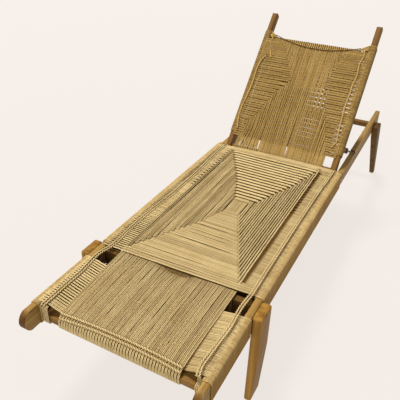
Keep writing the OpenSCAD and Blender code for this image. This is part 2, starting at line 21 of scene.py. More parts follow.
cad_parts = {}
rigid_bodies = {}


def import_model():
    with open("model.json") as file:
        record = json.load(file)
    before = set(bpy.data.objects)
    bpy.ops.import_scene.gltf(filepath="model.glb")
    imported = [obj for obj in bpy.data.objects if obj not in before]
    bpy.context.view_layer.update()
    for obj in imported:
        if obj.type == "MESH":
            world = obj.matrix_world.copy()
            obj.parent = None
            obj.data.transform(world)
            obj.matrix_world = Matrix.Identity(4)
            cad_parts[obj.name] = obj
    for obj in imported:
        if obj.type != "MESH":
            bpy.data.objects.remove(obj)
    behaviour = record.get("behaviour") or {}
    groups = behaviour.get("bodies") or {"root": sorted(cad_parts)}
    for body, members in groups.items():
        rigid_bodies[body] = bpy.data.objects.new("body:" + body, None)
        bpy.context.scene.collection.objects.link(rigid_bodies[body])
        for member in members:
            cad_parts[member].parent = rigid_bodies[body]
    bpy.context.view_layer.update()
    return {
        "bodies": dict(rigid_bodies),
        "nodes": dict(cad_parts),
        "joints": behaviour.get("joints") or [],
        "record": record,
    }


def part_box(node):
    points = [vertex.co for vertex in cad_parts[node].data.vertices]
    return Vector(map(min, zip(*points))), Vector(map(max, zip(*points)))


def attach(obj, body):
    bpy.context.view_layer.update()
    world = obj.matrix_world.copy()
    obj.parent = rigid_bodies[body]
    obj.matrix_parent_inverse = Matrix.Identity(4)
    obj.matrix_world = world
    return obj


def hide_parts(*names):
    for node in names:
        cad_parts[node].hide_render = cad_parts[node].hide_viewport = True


log = logging.getLogger("chaise")

Colour = tuple[float, float, float]
Direction = tuple[float, float, float]
Corner = tuple[float, float]
Socket = bpy.types.NodeSocket

CORD_RADIUS = 0.0018
# How far the middle line of a turn of cord lies outside the timber inside it.
WRAP_LIFT = CORD_RADIUS + 0.0002
TURN_PITCH = 0.0039
TURN_BEND = 0.0072
LOOP_BEND = 0.0050
# Half the distance between a crosswise pair's cords beside the seat and the foot.
SIDE_HALF = 0.00222
# How far the first two points of a crosswise cord lie below its top, where it leaves the rail's turns.
RAIL_FALL = (0.0022, 0.0001)
# The direction across the lounge, which no lengthwise cord runs along.
SIDEWAYS = (1.0, 0.0, 0.0)
# The span of the random tones that cords get.
CORD_TONES = (0.52, 0.84)
# The two cords of a pair, as the side that each lies on.
PAIR = (-1.0, 1.0)
# The two cords of a twined rope, as the phase of each in the twist.
TWO_PLY = (0.0, math.pi)
WHITE = (1.0, 1.0, 1.0)
SEED = 11


class Body(str, Enum):
    """The CAD frame's bodies that carry cord."""

    FRAME = "frame"
    BACKREST = "backrest"


class Side(float, Enum):
    """The side of the lounge that a piece is on, as the sign of its X."""

    LEFT = -1.0
    RIGHT = 1.0

    @property
    def word(self) -> str:
        """The side's word in the names of CAD nodes."""
        return "left" if self is Side.LEFT else "right"


class Grain(Enum):
    """The direction that a timber's grain runs in, as a turn about X from the lounge's length."""

    LENGTHWISE = 0.0
    UPRIGHT = 90.0
    BACKREST = 47.5
    CROSSWISE = -1.0


@dataclass(frozen=True)
class WoodFinish:
    """The colours and figure of one timber finish, whose ends are dark where it says so."""

    name: str
    pale: Colour
    deep: Colour
    grain: Grain
    roughness: float = 0.5
    seed: float = 0.0
    dark_ends: bool = False
    shine: float = 0.10
    fibres: Direction = (60.0, 2.2, 60.0)
    bands: Direction = (5.0, 1.2, 5.0)


@dataclass(frozen=True)
class CordFinish:
    """The colours and twist of the paper cord."""

    name: str
    pale: Colour
    deep: Colour
    turns_per_metre: float = 95.0
    strands: float = 3.0
    roughness: float = 0.72
    shine: float = 0.08
    mottle: float = 14.0


@dataclass(frozen=True)
class MetalFinish:
    """The colour and wear of one metal."""

    name: str
    colour: Colour
    roughness: float


def linear(value: int) -> float:
    """Turns one 8-bit screen value into the linear share that shaders take."""
    share = value / 255
    return share / 12.92 if share <= 0.04045 else ((share + 0.055) / 1.055) ** 2.4


def srgb(red: int, green: int, blue: int) -> Colour:
    """Turns an 8-bit screen colour into the linear colour that shaders take."""
    return linear(red), linear(green), linear(blue)


RAIL_WOOD = WoodFinish("rail_wood", srgb(190, 156, 88), srgb(108, 74, 30), Grain.LENGTHWISE, seed=1.0,
                       dark_ends=True)
CROSS_WOOD = WoodFinish("cross_wood", srgb(150, 114, 58), srgb(92, 62, 24), Grain.CROSSWISE, seed=2.0)
LEG_WOOD = WoodFinish("leg_wood", srgb(180, 136, 60), srgb(84, 50, 14), Grain.UPRIGHT, seed=3.0)
SHADED_WOOD = WoodFinish("shaded_wood", srgb(112, 82, 38), srgb(74, 50, 22), Grain.CROSSWISE, seed=5.0)
BACK_WOOD = WoodFinish("back_wood", srgb(140, 102, 48), srgb(74, 46, 16), Grain.BACKREST, seed=4.0)
# The deep colours are what low tones fall to: the cords' own darker tones and the painted shade on them. The
# wraps' cord differs by a warmer deep colour for the painted shade on the rails' sides.
SEAT_CORD = CordFinish("seat_cord", srgb(222, 200, 148), srgb(86, 56, 10))
WRAP_CORD = CordFinish("wrap_cord", srgb(218, 196, 142), srgb(148, 104, 36))
BACK_CORD = CordFinish("back_cord", srgb(208, 176, 110), srgb(84, 54, 10))
STEEL = MetalFinish("dull_steel", (0.30, 0.28, 0.25), 0.45)
BRASS = MetalFinish("dull_brass", (0.42, 0.29, 0.11), 0.4)

# The lines of the twined ropes along the edges: distances from the first turn of cord, and the ropes'
# distances from the lounge's middle there.
ROPE_LINES = {
    Side.LEFT: (
        [0.0, 0.045, 0.11, 0.165, 0.21, 0.24, 0.262, 0.305, 0.345, 0.40, 0.48, 0.56, 0.62, 0.70, 0.83,
         0.90, 1.0, 1.08, 1.148],
        [0.2375, 0.2365, 0.2375, 0.2365, 0.2415, 0.2455, 0.2445, 0.2335, 0.2325, 0.2365, 0.2375, 0.2365,
         0.2300, 0.2285, 0.2280, 0.2300, 0.2345, 0.2375, 0.2360]),
    Side.RIGHT: (
        [0.0, 0.033, 0.06, 0.127, 0.173, 0.227, 0.25, 0.277, 0.323, 0.40, 0.50, 0.60, 0.75, 0.84, 1.0,
         1.04, 1.07, 1.148],
        [0.2420, 0.2330, 0.2345, 0.2375, 0.2405, 0.2380, 0.2360, 0.2370, 0.2410, 0.2400, 0.2390, 0.2385,
         0.2380, 0.2385, 0.2395, 0.2435, 0.2420, 0.2440]),
}


class Shader:
    """A small builder for one node material."""

    def __init__(self, name: str) -> None:
        """Makes the material with its plain surface.

        Args:
            name: The material's name.
        """
        self.material = bpy.data.materials.new(name)
        self.material.use_nodes = True
        self.tree = self.material.node_tree
        self.surface = self.tree.nodes["Principled BSDF"]

    def node(self, kind: str, **settings: object) -> bpy.types.Node:
        """Adds a node and sets its properties.

        Args:
            kind: The node's type.
            settings: Its properties by their names.

        Returns:
            The node.
        """
        made = self.tree.nodes.new(kind)
        for key, value in settings.items():
            setattr(made, key, value)
        return made

    def put(self, value: Socket | Colour | float, target: Socket) -> None:
        """Links a socket to a target, or sets a colour or a number on it.

        Args:
            value: The socket, colour or number.
            target: The input that takes it.
        """
        if isinstance(value, Socket):
            self.tree.links.new(value, target)
        elif isinstance(value, tuple):
            target.default_value = (*value, 1.0)
        else:
            target.default_value = value

    def coat(self, values: dict[str, Socket | Colour | float]) -> None:
        """Puts values on the surface's inputs, by the inputs' names."""
        for name, value in values.items():
            self.put(value, self.surface.inputs[name])

    def calculate(self, operation: str, *values: Socket | float) -> Socket:
        """Adds a math node.

        Args:
            operation: What it does.
            values: The sockets and numbers that it does it with.

        Returns:
            The result's socket.
        """
        made = self.node("ShaderNodeMath", operation=operation)
        for number, value in enumerate(values):
            self.put(value, made.inputs[number])
        return made.outputs[0]

    def mapped(self, turn: Direction = (0.0, 0.0, 0.0), scale: Direction = (1.0, 1.0, 1.0)) -> Socket:
        """Object coordinates, turned in degrees and then scaled.

        Args:
            turn: The rotation about X, Y and Z.
            scale: The scale along each turned axis.

        Returns:
            The socket that holds the coordinates.
        """
        vector = self.node("ShaderNodeTexCoord").outputs["Object"]
        for name, value in (("Rotation", [math.radians(angle) for angle in turn]), ("Scale", scale)):
            made = self.node("ShaderNodeMapping", vector_type="POINT")
            made.inputs[name].default_value = value
            self.put(vector, made.inputs["Vector"])
            vector = made.outputs["Vector"]
        return vector

    def noise(self, vector: Socket, scale: float, detail: float, rough: float) -> Socket:
        """Adds a noise texture.

        Args:
            vector: The coordinates that it is read at.
            scale: How fine it is.
            detail: How many finer layers it has.
            rough: How strong those are.

        Returns:
            The socket that holds its value.
        """
        made = self.node("ShaderNodeTexNoise")
        for name, value in (("Vector", vector), ("Scale", scale), ("Detail", detail), ("Roughness", rough)):
            self.put(value, made.inputs[name])
        return made.outputs["Fac"]

    def ramp(self, source: Socket, stops: Sequence[tuple[float, Colour]]) -> Socket:
        """Adds a colour ramp of two stops.

        Args:
            source: The value that the ramp is read at.
            stops: The place and colour of each stop.

        Returns:
            The colour's socket.
        """
        made = self.node("ShaderNodeValToRGB")
        for element, (place, colour) in zip(made.color_ramp.elements, stops, strict=True):
            element.position = place
            element.color = (*colour, 1.0)
        self.put(source, made.inputs["Fac"])
        return made.outputs["Color"]

    def mix(self, factor: Socket | float, first: Socket | Colour, second: Socket | Colour,
            blend: str = "MIX") -> Socket:
        """Mixes two colours.

        Args:
            factor: The share of the second colour.
            first: The first colour.
            second: The second colour.
            blend: How the second lies over the first.

        Returns:
            The result's socket.
        """
        made = self.node("ShaderNodeMix", data_type="RGBA", blend_type=blend)
        for value, number in ((factor, 0), (first, 6), (second, 7)):
            self.put(value, made.inputs[number])
        return made.outputs[2]

    def bump(self, height: Socket, distance: float, strength: float) -> None:
        """Feeds a height into the surface's normal.

        Args:
            height: The height, from 0 to 1.
            distance: How far 1 rises.
            strength: How much of that shows.
        """
        made = self.node("ShaderNodeBump")
        for name, value in (("Height", height), ("Distance", distance), ("Strength", strength)):
            self.put(value, made.inputs[name])
        self.put(made.outputs["Normal"], self.surface.inputs["Normal"])


def wood(finish: WoodFinish) -> bpy.types.Material:
    """Oiled timber whose grain runs along its piece.

    Args:
        finish: The colours, grain direction and roughness.

    Returns:
        The material.
    """
    shader = Shader(finish.name)
    across = finish.grain is Grain.CROSSWISE
    turn = (0.0, 0.0, 90.0) if across else (-finish.grain.value, 0.0, 0.0)
    shift = shader.node("ShaderNodeVectorMath", operation="ADD")
    shift.inputs[1].default_value = (finish.seed, finish.seed * 2, finish.seed * 3)
    shader.put(shader.mapped(turn, finish.fibres), shift.inputs[0])
    figure = shader.noise(shift.outputs[0], 1.0, 6.0, 0.6)
    pores = shader.noise(shift.outputs[0], 6.0, 3.0, 0.7)
    broad = shader.noise(shader.mapped(turn, finish.bands), 1.0, 2.0, 0.5)
    tone = shader.ramp(figure, [(0.30, finish.deep), (0.68, finish.pale)])
    colour = shader.mix(0.35, tone, shader.mix(broad, finish.deep, finish.pale))
    fleck = shader.ramp(pores, [(0.32, (0.62, 0.55, 0.48)), (0.46, WHITE)])
    colour = shader.mix(0.7, colour, fleck, "MULTIPLY")
    if finish.dark_ends:
        split = shader.node("ShaderNodeSeparateXYZ")
        shader.put(shader.node("ShaderNodeTexCoord").outputs["Normal"], split.inputs[0])
        facing = shader.calculate("ABSOLUTE", split.outputs["Y"])
        dark = shader.ramp(facing, [(0.10, WHITE), (0.75, (0.27, 0.19, 0.12))])
        colour = shader.mix(1.0, colour, dark, "MULTIPLY")
    shader.coat({"Base Color": colour, "Roughness": finish.roughness, "Specular IOR Level": finish.shine})
    shader.bump(figure, 0.0004, 0.35)
    return shader.material


def cord(finish: CordFinish) -> bpy.types.Material:
    """Twisted paper cord: each cord's tone and painted shade, a long soft mottle and the twist's slanting
    ridges.

    Args:
        finish: The colours, twist and roughness.

    Returns:
        The material.
    """
    shader = Shader(finish.name)
    split = shader.node("ShaderNodeSeparateXYZ")
    shader.put(shader.node("ShaderNodeUVMap", uv_map="cord").outputs["UV"], split.inputs[0])
    length = shader.calculate("MULTIPLY", split.outputs["X"], finish.turns_per_metre)
    strands = shader.calculate("MULTIPLY_ADD", split.outputs["Y"], finish.strands, length)
    wave = shader.calculate("SINE", shader.calculate("MULTIPLY", strands, math.tau))
    ridge = shader.calculate("MULTIPLY_ADD", wave, 0.5, 0.5)
    # The tint attribute holds each cord's own tone with the painted shade laid into it.
    tint = shader.node("ShaderNodeAttribute", attribute_name="tint").outputs["Fac"]
    mottle = shader.noise(shader.mapped(), finish.mottle, 3.0, 0.6)
    soft = shader.ramp(mottle, [(0.30, (0.84, 0.80, 0.72)), (0.66, WHITE)])
    # Painted shade darkens the grooves between the twist's ridges.
    groove = shader.ramp(ridge, [(0.0, (0.72, 0.66, 0.56)), (0.45, WHITE)])
    colour = shader.mix(0.8, shader.mix(tint, finish.deep, finish.pale), soft, "MULTIPLY")
    colour = shader.mix(0.6, colour, groove, "MULTIPLY")
    shader.coat({"Base Color": colour, "Roughness": finish.roughness, "Specular IOR Level": finish.shine})
    shader.bump(ridge, 0.0005, 0.6)
    return shader.material


def metal(finish: MetalFinish) -> bpy.types.Material:
    """Dull metal with a faint uneven polish.

    Args:
        finish: The colour and roughness.

    Returns:
        The material.
    """
    shader = Shader(finish.name)
    patches = shader.noise(shader.mapped(), 90.0, 4.0, 0.6)
    dark = tuple(value * 0.6 for value in finish.colour)
    tone = shader.ramp(patches, [(0.35, dark), (0.62, finish.colour)])
    shader.coat({"Base Color": tone, "Metallic": 1.0, "Roughness": finish.roughness})
    shader.bump(patches, 0.0002, 0.2)
    return shader.material


@dataclass(frozen=True)
class Plane:
    """A flat place that woven cord lies in: across, along and out of it.

    Args:
        origin: The point that the distances start from.
        angle: The plane's slope about X, in degrees.
        across: The sign of X that distances across are counted towards.
    """

    origin: Vector
    angle: float = 0.0
    across: float = 1.0

    @property
    def ahead(self) -> Direction:
        """The direction along the plane."""
        return 0.0, math.cos(math.radians(self.angle)), math.sin(math.radians(self.angle))

    @property
    def facing(self) -> Direction:
        """The direction out of the plane."""
        return 0.0, -math.sin(math.radians(self.angle)), math.cos(math.radians(self.angle))

    @property
    def behind(self) -> Direction:
        """The direction into the plane."""
        return 0.0, -self.facing[1], -self.facing[2]

    def points(self, across: np.ndarray, along: np.ndarray, out: np.ndarray) -> np.ndarray:
        """Turns distances in the plane into points in the lounge's frame, of shape (..., 3)."""
        across, along, out = (np.asarray(distance)[..., None] for distance in (across, along, out))
        return np.array(self.origin) + across * (self.across, 0, 0) + along * self.ahead + out * self.facing

    def towards(self, side: Side) -> "Plane":
        """The same plane with its distances across counted towards one side."""
        return replace(self, across=side.value)


@dataclass(frozen=True)
class Drift:
    """How far cords drift, and over what length: sideways, and up and down where they do so."""

    side: tuple[float, float]
    rise: tuple[float, float] | None = None


@dataclass(frozen=True)
class Twine:
    """How two cords twist into a rope.

    Args:
        twist: The length of one full turn.
        swing: How far a cord swings to the sides.
        rise: How far it swings up and down.
        radius: The cords' radius.
        bright: What the tone of the rope's beads is taken times.
        tone: One tone for the whole rope in place of bright beads.
    """

    twist: float
    swing: float
    rise: float
    radius: float
    bright: float = 1.0
    tone: float | None = None


def ring(low: Corner, high: Corner, bend: float, steps: int = 3) -> np.ndarray:
    """The middle line of one turn of cord round a board's section.

    Args:
        low: The board's low corner.
        high: The board's high corner.
        bend: The radius of the cord's bend at each corner, to its middle line.
        steps: The points on each corner's bend.

    Returns:
        Points of shape (4 * steps, 2), anticlockwise from the high corner.
    """
    points = []
    for corner, (toward_u, toward_v) in enumerate(((1, 1), (-1, 1), (-1, -1), (1, -1))):
        centre_u = (high[0] if toward_u > 0 else low[0]) + toward_u * (WRAP_LIFT - bend)
        centre_v = (high[1] if toward_v > 0 else low[1]) + toward_v * (WRAP_LIFT - bend)
        for step in range(steps):
            angle = math.radians(90 * corner + 90 * step / (steps - 1))
            points.append((centre_u + bend * math.cos(angle), centre_v + bend * math.sin(angle)))
    return np.array(points)


def spaced(start: float, pitch: float, count: int) -> np.ndarray:
    """The middles of evenly spaced cords, the first half a pitch from the start."""
    return start + (np.arange(count) + 0.5) * pitch


def soft_step(value: np.ndarray) -> np.ndarray:
    """A smooth rise from 0 to 1 while value goes from 0 to 1."""
    value = np.clip(value, 0, 1)
    return value * value * (3 - 2 * value)


def bell(distance: np.ndarray, width: float) -> np.ndarray:
    """A smooth hump that is 1 where the distance is 0 and fades over the given width."""
    return np.exp(-((distance / width) ** 2))


def worn(above: np.ndarray, side: float, more: float, over: float = 0.012) -> np.ndarray:
    """The tone of turns of cord: painted shade on the sides of their timber, full tone on its top or face.

    Args:
        above: The points' heights above the timber's top or face, of shape (points,).
        side: The share of the tone on the sides, under painted shade.
        more: What is added to it on the top.
        over: The height over which it changes.

    Returns:
        Shares of shape (1, points).
    """
    return (side + more * soft_step((above + over) / over))[None]


def wander(random: np.random.Generator, cords: int, along: np.ndarray, reach: float,
           period: float) -> np.ndarray:
    """A small smooth drift for each cord.

    Args:
        random: Where each cord's own start comes from.
        cords: The number of cords.
        along: The points' distances along them, of shape (points,).
        reach: How far they drift.
        period: The length over which they do so once.

    Returns:
        The drift, of shape (cords, points).
    """
    drift = np.zeros((cords, along.shape[-1]))
    for part, share in ((1.0, 0.6), (0.43, 0.4)):
        phase = random.uniform(0, math.tau, (cords, 1))
        drift += share * np.sin(phase + math.tau * along / (period * part))
    return reach * drift


class CordPiece:
    """Round cords laid along routes and gathered into one mesh."""

    def __init__(self, name: str, sides: int = 6) -> None:
        """Starts an empty piece with random numbers of its own.

        Args:
            name: The piece's name.
            sides: The number of sides of a cord's section.
        """
        self.name = name
        self.sides = sides
        self.points: list[np.ndarray] = []
        self.quads: list[np.ndarray] = []
        self.caps: list[np.ndarray] = []
        self.quad_uvs: list[np.ndarray] = []
        self.tints: list[np.ndarray] = []
        self.count = 0
        self.random = np.random.default_rng(SEED + len(name))

    def lay(self, routes: np.ndarray, across: Sequence[float], radius: float | np.ndarray = CORD_RADIUS,
            closed: bool = False, tone: float | None = None, shade: float | np.ndarray = 1.0,
            out: Direction | np.ndarray | None = None) -> None:
        """Lays a batch of cords that have the same number of points.

        The tone falls from the side of a cord that faces out to the side that lies on the work,
        as painted shade.

        Args:
            routes: Points of shape (cords, points, 3).
            across: A direction that no cord runs along, which keeps their sections from turning.
            radius: The cords' radius, or an array of them that fits (cords, points).
            closed: Whether each cord closes on itself.
            tone: The cords' tone from 0 to 1, or None for a random one each.
            shade: What the tone is taken times, as one number or an array that fits (cords, points).
            out: The direction that the work faces, or None for away from each cord's own middle.
        """
        cords, steps, _ = routes.shape
        ahead = np.roll(routes, -1, axis=1) - np.roll(routes, 1, axis=1)
        if not closed:
            ahead[:, 0] = routes[:, 1] - routes[:, 0]
            ahead[:, -1] = routes[:, -1] - routes[:, -2]
        ahead /= np.linalg.norm(ahead, axis=2, keepdims=True)
        second = np.cross(ahead, np.array(across, float))
        second /= np.linalg.norm(second, axis=2, keepdims=True)
        first = np.cross(second, ahead)
        angles = np.arange(self.sides) * math.tau / self.sides
        facing = first[:, :, None] * np.cos(angles)[:, None] + second[:, :, None] * np.sin(angles)[:, None]
        section = np.asarray(radius)[..., None, None] * facing
        self.points.append((routes[:, :, None] + section).reshape(-1, 3))
        if out is None:
            away = routes - routes.mean(axis=1, keepdims=True)
        else:
            away = np.broadcast_to(np.asarray(out, float), routes.shape)
        away = away / np.linalg.norm(away, axis=2, keepdims=True)
        rise = (facing * away[:, :, None]).sum(axis=3)

        index = self.count + np.arange(cords * steps * self.sides).reshape(cords, steps, self.sides)
        here = index if closed else index[:, :-1]
        there = np.roll(index, -1, axis=1) if closed else index[:, 1:]
        quads = np.stack([here, np.roll(here, -1, 2), np.roll(there, -1, 2), there], axis=-1)
        self.quads.append(quads.reshape(-1, 4))
        gaps = np.linalg.norm(np.roll(routes, -1, axis=1) - routes, axis=2)
        reach = np.concatenate([np.zeros((cords, 1)), np.cumsum(gaps, axis=1)], axis=1)
        start = reach[:, : here.shape[1], None] + np.zeros(self.sides)
        end = reach[:, 1 : here.shape[1] + 1, None] + np.zeros(self.sides)
        low = np.broadcast_to(np.arange(self.sides) / self.sides, start.shape)
        high = low + 1 / self.sides
        corners = ((start, low), (start, high), (end, high), (end, low))
        self.quad_uvs.append(np.stack([np.stack(corner, -1) for corner in corners], -2).reshape(-1, 2))
        if not closed:
            self.caps.append(index[:, 0, ::-1])
            self.caps.append(index[:, -1])
        tones = self.random.uniform(*CORD_TONES, cords)
        if tone is not None:
            tones = np.full(cords, tone)
        tones = np.broadcast_to(np.minimum(tones[:, None] * shade, 1.0), (cords, steps))
        # Painted shade: each point's tone falls as it turns away from the work's facing.
        self.tints.append((tones[:, :, None] * (0.12 + 0.88 * soft_step(0.42 + 0.60 * rise))).ravel())
        self.count += cords * steps * self.sides

    def lay_pairs(self, plane: Plane, at: np.ndarray, middle: np.ndarray, height: np.ndarray,
                  half: float | np.ndarray, radius: float | np.ndarray, drift: Drift, crosswise: bool = False,
                  shade: float | np.ndarray = 1.0, out: Direction | np.ndarray | None = None) -> None:
        """Lays cords two by two along or across a plane, each with a small drift of its own.

        Args:
            plane: The plane that the distances are given in.
            at: The points' distances along the pairs, of shape (points,).
            middle: The pairs' middle lines, of shape (pairs, points).
            height: The heights over the plane, of a shape that fits (pairs, points).
            half: Half the distance between a pair's cords.
            radius: The cords' radius.
            drift: How far the cords drift.
            crosswise: Whether the pairs run across the lounge.
            shade: What their random tones are taken times.
            out: The direction that the work faces, or None for the plane's.
        """
        for strand in PAIR:
            own = middle + strand * half + wander(self.random, len(middle), at, *drift.side)
            lift = wander(self.random, len(middle), at, *drift.rise) if drift.rise else 0.0
            place = (at, own) if crosswise else (own, at)
            self.lay(plane.points(*place, height + lift), plane.ahead if crosswise else SIDEWAYS,
                     radius=radius, shade=shade, out=plane.facing if out is None else out)

    def lay_rope(self, plane: Plane, at: np.ndarray, line: np.ndarray, height: float | np.ndarray,
                 twine: Twine, crosswise: bool = False, spin: float = 1.0, start: float = 0.0,
                 out: Direction | None = None) -> None:
        """Lays two cords that twist round each other along a line in a plane.

        Args:
            plane: The plane that the distances are given in.
            at: The points' distances along the rope.
            line: The rope's place across its run at each point.
            height: Its height over the plane.
            twine: The twist's measures.
            crosswise: Whether the rope runs across the lounge.
            spin: The sign of the twist.
            start: The twist's angle where the rope's distance is 0.
            out: The direction that the work faces, or None for the plane's.
        """
        for phase in TWO_PLY:
            turn = spin * math.tau * at / twine.twist + start + phase
            own = line + twine.swing * np.cos(turn)
            place = (at, own) if crosswise else (own, at)
            routes = plane.points(*place, height + twine.rise * np.sin(turn))[None]
            # Painted light makes each cord a bright bead where it lies on top, and painted shade darkens it
            # below.
            bead = twine.bright * (1.15 + 0.60 * np.sin(turn))[None]
            self.lay(routes, plane.ahead if crosswise else SIDEWAYS, radius=twine.radius, tone=twine.tone,
                     shade=1.0 if twine.tone else bead, out=plane.facing if out is None else out)

    def finish(self, material: bpy.types.Material, body: Body, replaces: Sequence[str]) -> None:
        """Makes the mesh, gives it its finish and puts it on its body.

        Args:
            material: The cord's material.
            body: The body that the piece rides on.
            replaces: The CAD nodes that it stands for.
        """
        quads = np.concatenate(self.quads)
        caps = np.concatenate(self.caps) if self.caps else np.zeros((0, self.sides), int)
        mesh = bpy.data.meshes.new(self.name)
        mesh.from_pydata(np.concatenate(self.points).tolist(), [], quads.tolist() + caps.tolist())
        mesh.polygons.foreach_set("use_smooth", np.ones(len(mesh.polygons), bool))
        layer = mesh.uv_layers.new(name="cord")
        uvs = np.concatenate([*self.quad_uvs, np.zeros((caps.size, 2))])
        layer.data.foreach_set("uv", uvs.astype(np.float32).ravel())
        tones = mesh.attributes.new("tint", "FLOAT", "POINT")
        tones.data.foreach_set("value", np.concatenate(self.tints).astype(np.float32))
        mesh.materials.append(material)
        piece = bpy.data.objects.new(self.name, mesh)
        bpy.context.scene.collection.objects.link(piece)
        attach(piece, body.value)
        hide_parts(*replaces)
        log.info("%s: %d faces", self.name, len(mesh.polygons))


@dataclass
class Lounge:
    """Everything that the pieces share: the frame, the finishes and the main measures.
    """

    frame: dict
    cord: bpy.types.Material = field(init=False)
    wrap_cord: bpy.types.Material = field(init=False)
    back_cord: bpy.types.Material = field(init=False)
    level: Plane = field(init=False)
    back: Plane = field(init=False)

    def __post_init__(self) -> None:
        """Makes the cords' materials, the floor's plane at the first turn and the backrest's plane."""
        self.cord = cord(SEAT_CORD)
        self.wrap_cord = cord(WRAP_CORD)
        self.back_cord = cord(BACK_CORD)
        self.level = Plane(Vector((0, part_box("foot_wrap_left")[0].y, 0)))
        joints = {joint["name"]: joint for joint in self.frame["joints"]}
        self.back = Plane(Vector(joints["backrest_hinge"]["pos_m"]), Grain.BACKREST.value)


@dataclass
class TimberAndMetal:
    """The CAD pieces that keep their shape: each gets the finish of its timber or metal."""

    lounge: Lounge
    finishes: tuple[tuple[tuple[str, ...], WoodFinish | MetalFinish], ...] = (
        (("leg_screws", "prop_hinge", "prop_rod", "prop_bracket"), STEEL),
        (("pivot",), BRASS),
        (("leg_rear", "seat_"), SHADED_WOOD),
        (("leg_",), LEG_WOOD),
        (("back_stile", "prop_arm"), BACK_WOOD),
        (("side_rail",), RAIL_WOOD),
    )

    def build(self) -> None:
        """Gives every wood and metal node its material."""
        timbers = (RAIL_WOOD, CROSS_WOOD, LEG_WOOD, BACK_WOOD, SHADED_WOOD)
        materials = {finish.name: wood(finish) for finish in timbers}
        materials |= {finish.name: metal(finish) for finish in (STEEL, BRASS)}
        for name, node in self.lounge.frame["nodes"].items():
            node.data.materials.clear()
            node.data.materials.append(materials[self.finish_of(name).name])

    def finish_of(self, name: str) -> WoodFinish | MetalFinish:
        """The finish for a CAD node, from the way that its name starts.

        Args:
            name: The node's name.

        Returns:
            Its wood or metal.
        """
        for starts, finish in self.finishes:
            if name.startswith(starts):
                return finish
        return CROSS_WOOD


@dataclass
class RailWraps:
    """Close turns of cord round the two side rails, at the foot and along the seat.

    Args:
        lounge: What the pieces share.
        side_drift: The spread of the turns' places.
        rise_drift: The spread of their heights.
        tones: The share of the tone on the rail's sides, under painted shade, and what is added to it on the
            top.
    """

    lounge: Lounge
    side_drift: float = 0.00022
    rise_drift: float = 0.00012
    tones: tuple[float, float] = (0.30, 0.70)

    def build(self) -> None:
        """Winds each of the four runs."""
        for side in Side:
            for run in ("foot_wrap", "seat_wrap"):
                self.wind(f"{run}_{side.word}", f"side_rail_{side.word}")

    def wind(self, node: str, rail: str) -> None:
        """Winds one run of turns in place of its CAD sleeve.

        Args:
            node: The CAD sleeve.
            rail: The CAD rail inside it.
        """
        sleeve_low, sleeve_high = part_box(node)
        rail_low, rail_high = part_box(rail)
        loop = ring((rail_low.x, rail_low.z), (rail_high.x, rail_high.z), TURN_BEND)
        turns = round((sleeve_high.y - sleeve_low.y) / TURN_PITCH)
        piece = CordPiece(f"{node}_turns")
        places = spaced(sleeve_low.y, (sleeve_high.y - sleeve_low.y) / turns, turns)
        places += piece.random.normal(0, self.side_drift, turns)
        height = loop[:, 1] + piece.random.normal(0, self.rise_drift, (turns, 1))
        routes = np.stack(np.broadcast_arrays(loop[:, 0], places[:, None], height), axis=-1)
        # Painted shade darkens the turns on the rail's sides and underside.
        shade = worn(loop[:, 1] - rail_high.z, *self.tones)
        piece.lay(routes, self.lounge.level.ahead, closed=True, shade=shade)
        piece.finish(self.lounge.wrap_cord, Body.FRAME, [node])


@dataclass(frozen=True)
class Gap:
    """A place where two neighbouring cords part and show a dark line.

    Args:
        place: The line's place across the cords.
        start: Where the line starts along the cords.
        end: Where it ends.
        width: The gap's extra width.
        sharp: Whether it is widest at its start and tapers from there, as beside a step of the weave.
    """

    place: float
    start: float
    end: float
    width: float
    sharp: bool = False


def parted(places: np.ndarray, along: np.ndarray, gaps: Sequence[Gap | tuple], pitch: float) -> np.ndarray:
    """Moves cords apart at the given gaps.

    Args:
        places: The cords' places, of shape (cords, points).
        along: The points' distances along the cords, of shape (points,).
        gaps: The gaps to open, as gaps or as tuples of their place, start, end and width.
        pitch: The usual distance between neighbouring cords.

    Returns:
        The moved places, of the same shape.
    """
    moved = places.copy()
    for gap in (gap if isinstance(gap, Gap) else Gap(*gap) for gap in gaps):
        length = gap.end - gap.start
        middle = int(np.argmin(np.abs(along - gap.start - (0.0 if gap.sharp else length / 2))))
        beyond = (places[:, middle] - gap.place) / pitch
        push = np.sign(beyond) * np.exp(-np.maximum(np.abs(beyond) - 0.5, 0) / 0.9) * gap.width / 2
        share = (along - gap.start) / length
        shape = soft_step((1 - share) / 0.35) * soft_step(share / 0.35)
        if gap.sharp:
            shape = (share > -0.01) * np.clip(1 - share, 0, 1) ** 0.7
        moved += push[:, None] * shape
    return moved


def rope_shadow(along: np.ndarray, out: np.ndarray) -> np.ndarray:
    """The dark line outside the right side's ropes, as a tone for each cord and point under them.

    Args:
        along: The cords' distances from the first turn, of shape (cords,).
        out: The points' distances from the lounge's middle, of shape (points,).

    Returns:
        Tones of shape (cords, points).
    """
    place = np.interp(along, *ROPE_LINES[Side.RIGHT])[:, None] + 0.0092
    return 1 - 0.95 * bell(out - place, 0.0027)


def side_pinch(out: np.ndarray, pinched: bool) -> np.ndarray:
    """Half the distance between a crosswise pair's cords, on its way from the rail inward.

    Args:
        out: Distances from the lounge's middle.
        pinched: Whether the twined ropes draw the pairs together, as they do on the left side.

    Returns:
        The half distances, as many as the given ones.
    """
    if not pinched:
        return np.full(out.shape, SIDE_HALF)
    stops = [0.190, 0.225, 0.2360, 0.2430, 0.2500, 0.2570, 0.2615]
    return np.interp(out, stops, [0.00205, 0.00205, 0.0017, 0.00125, 0.00145, 0.0020, 0.0022])


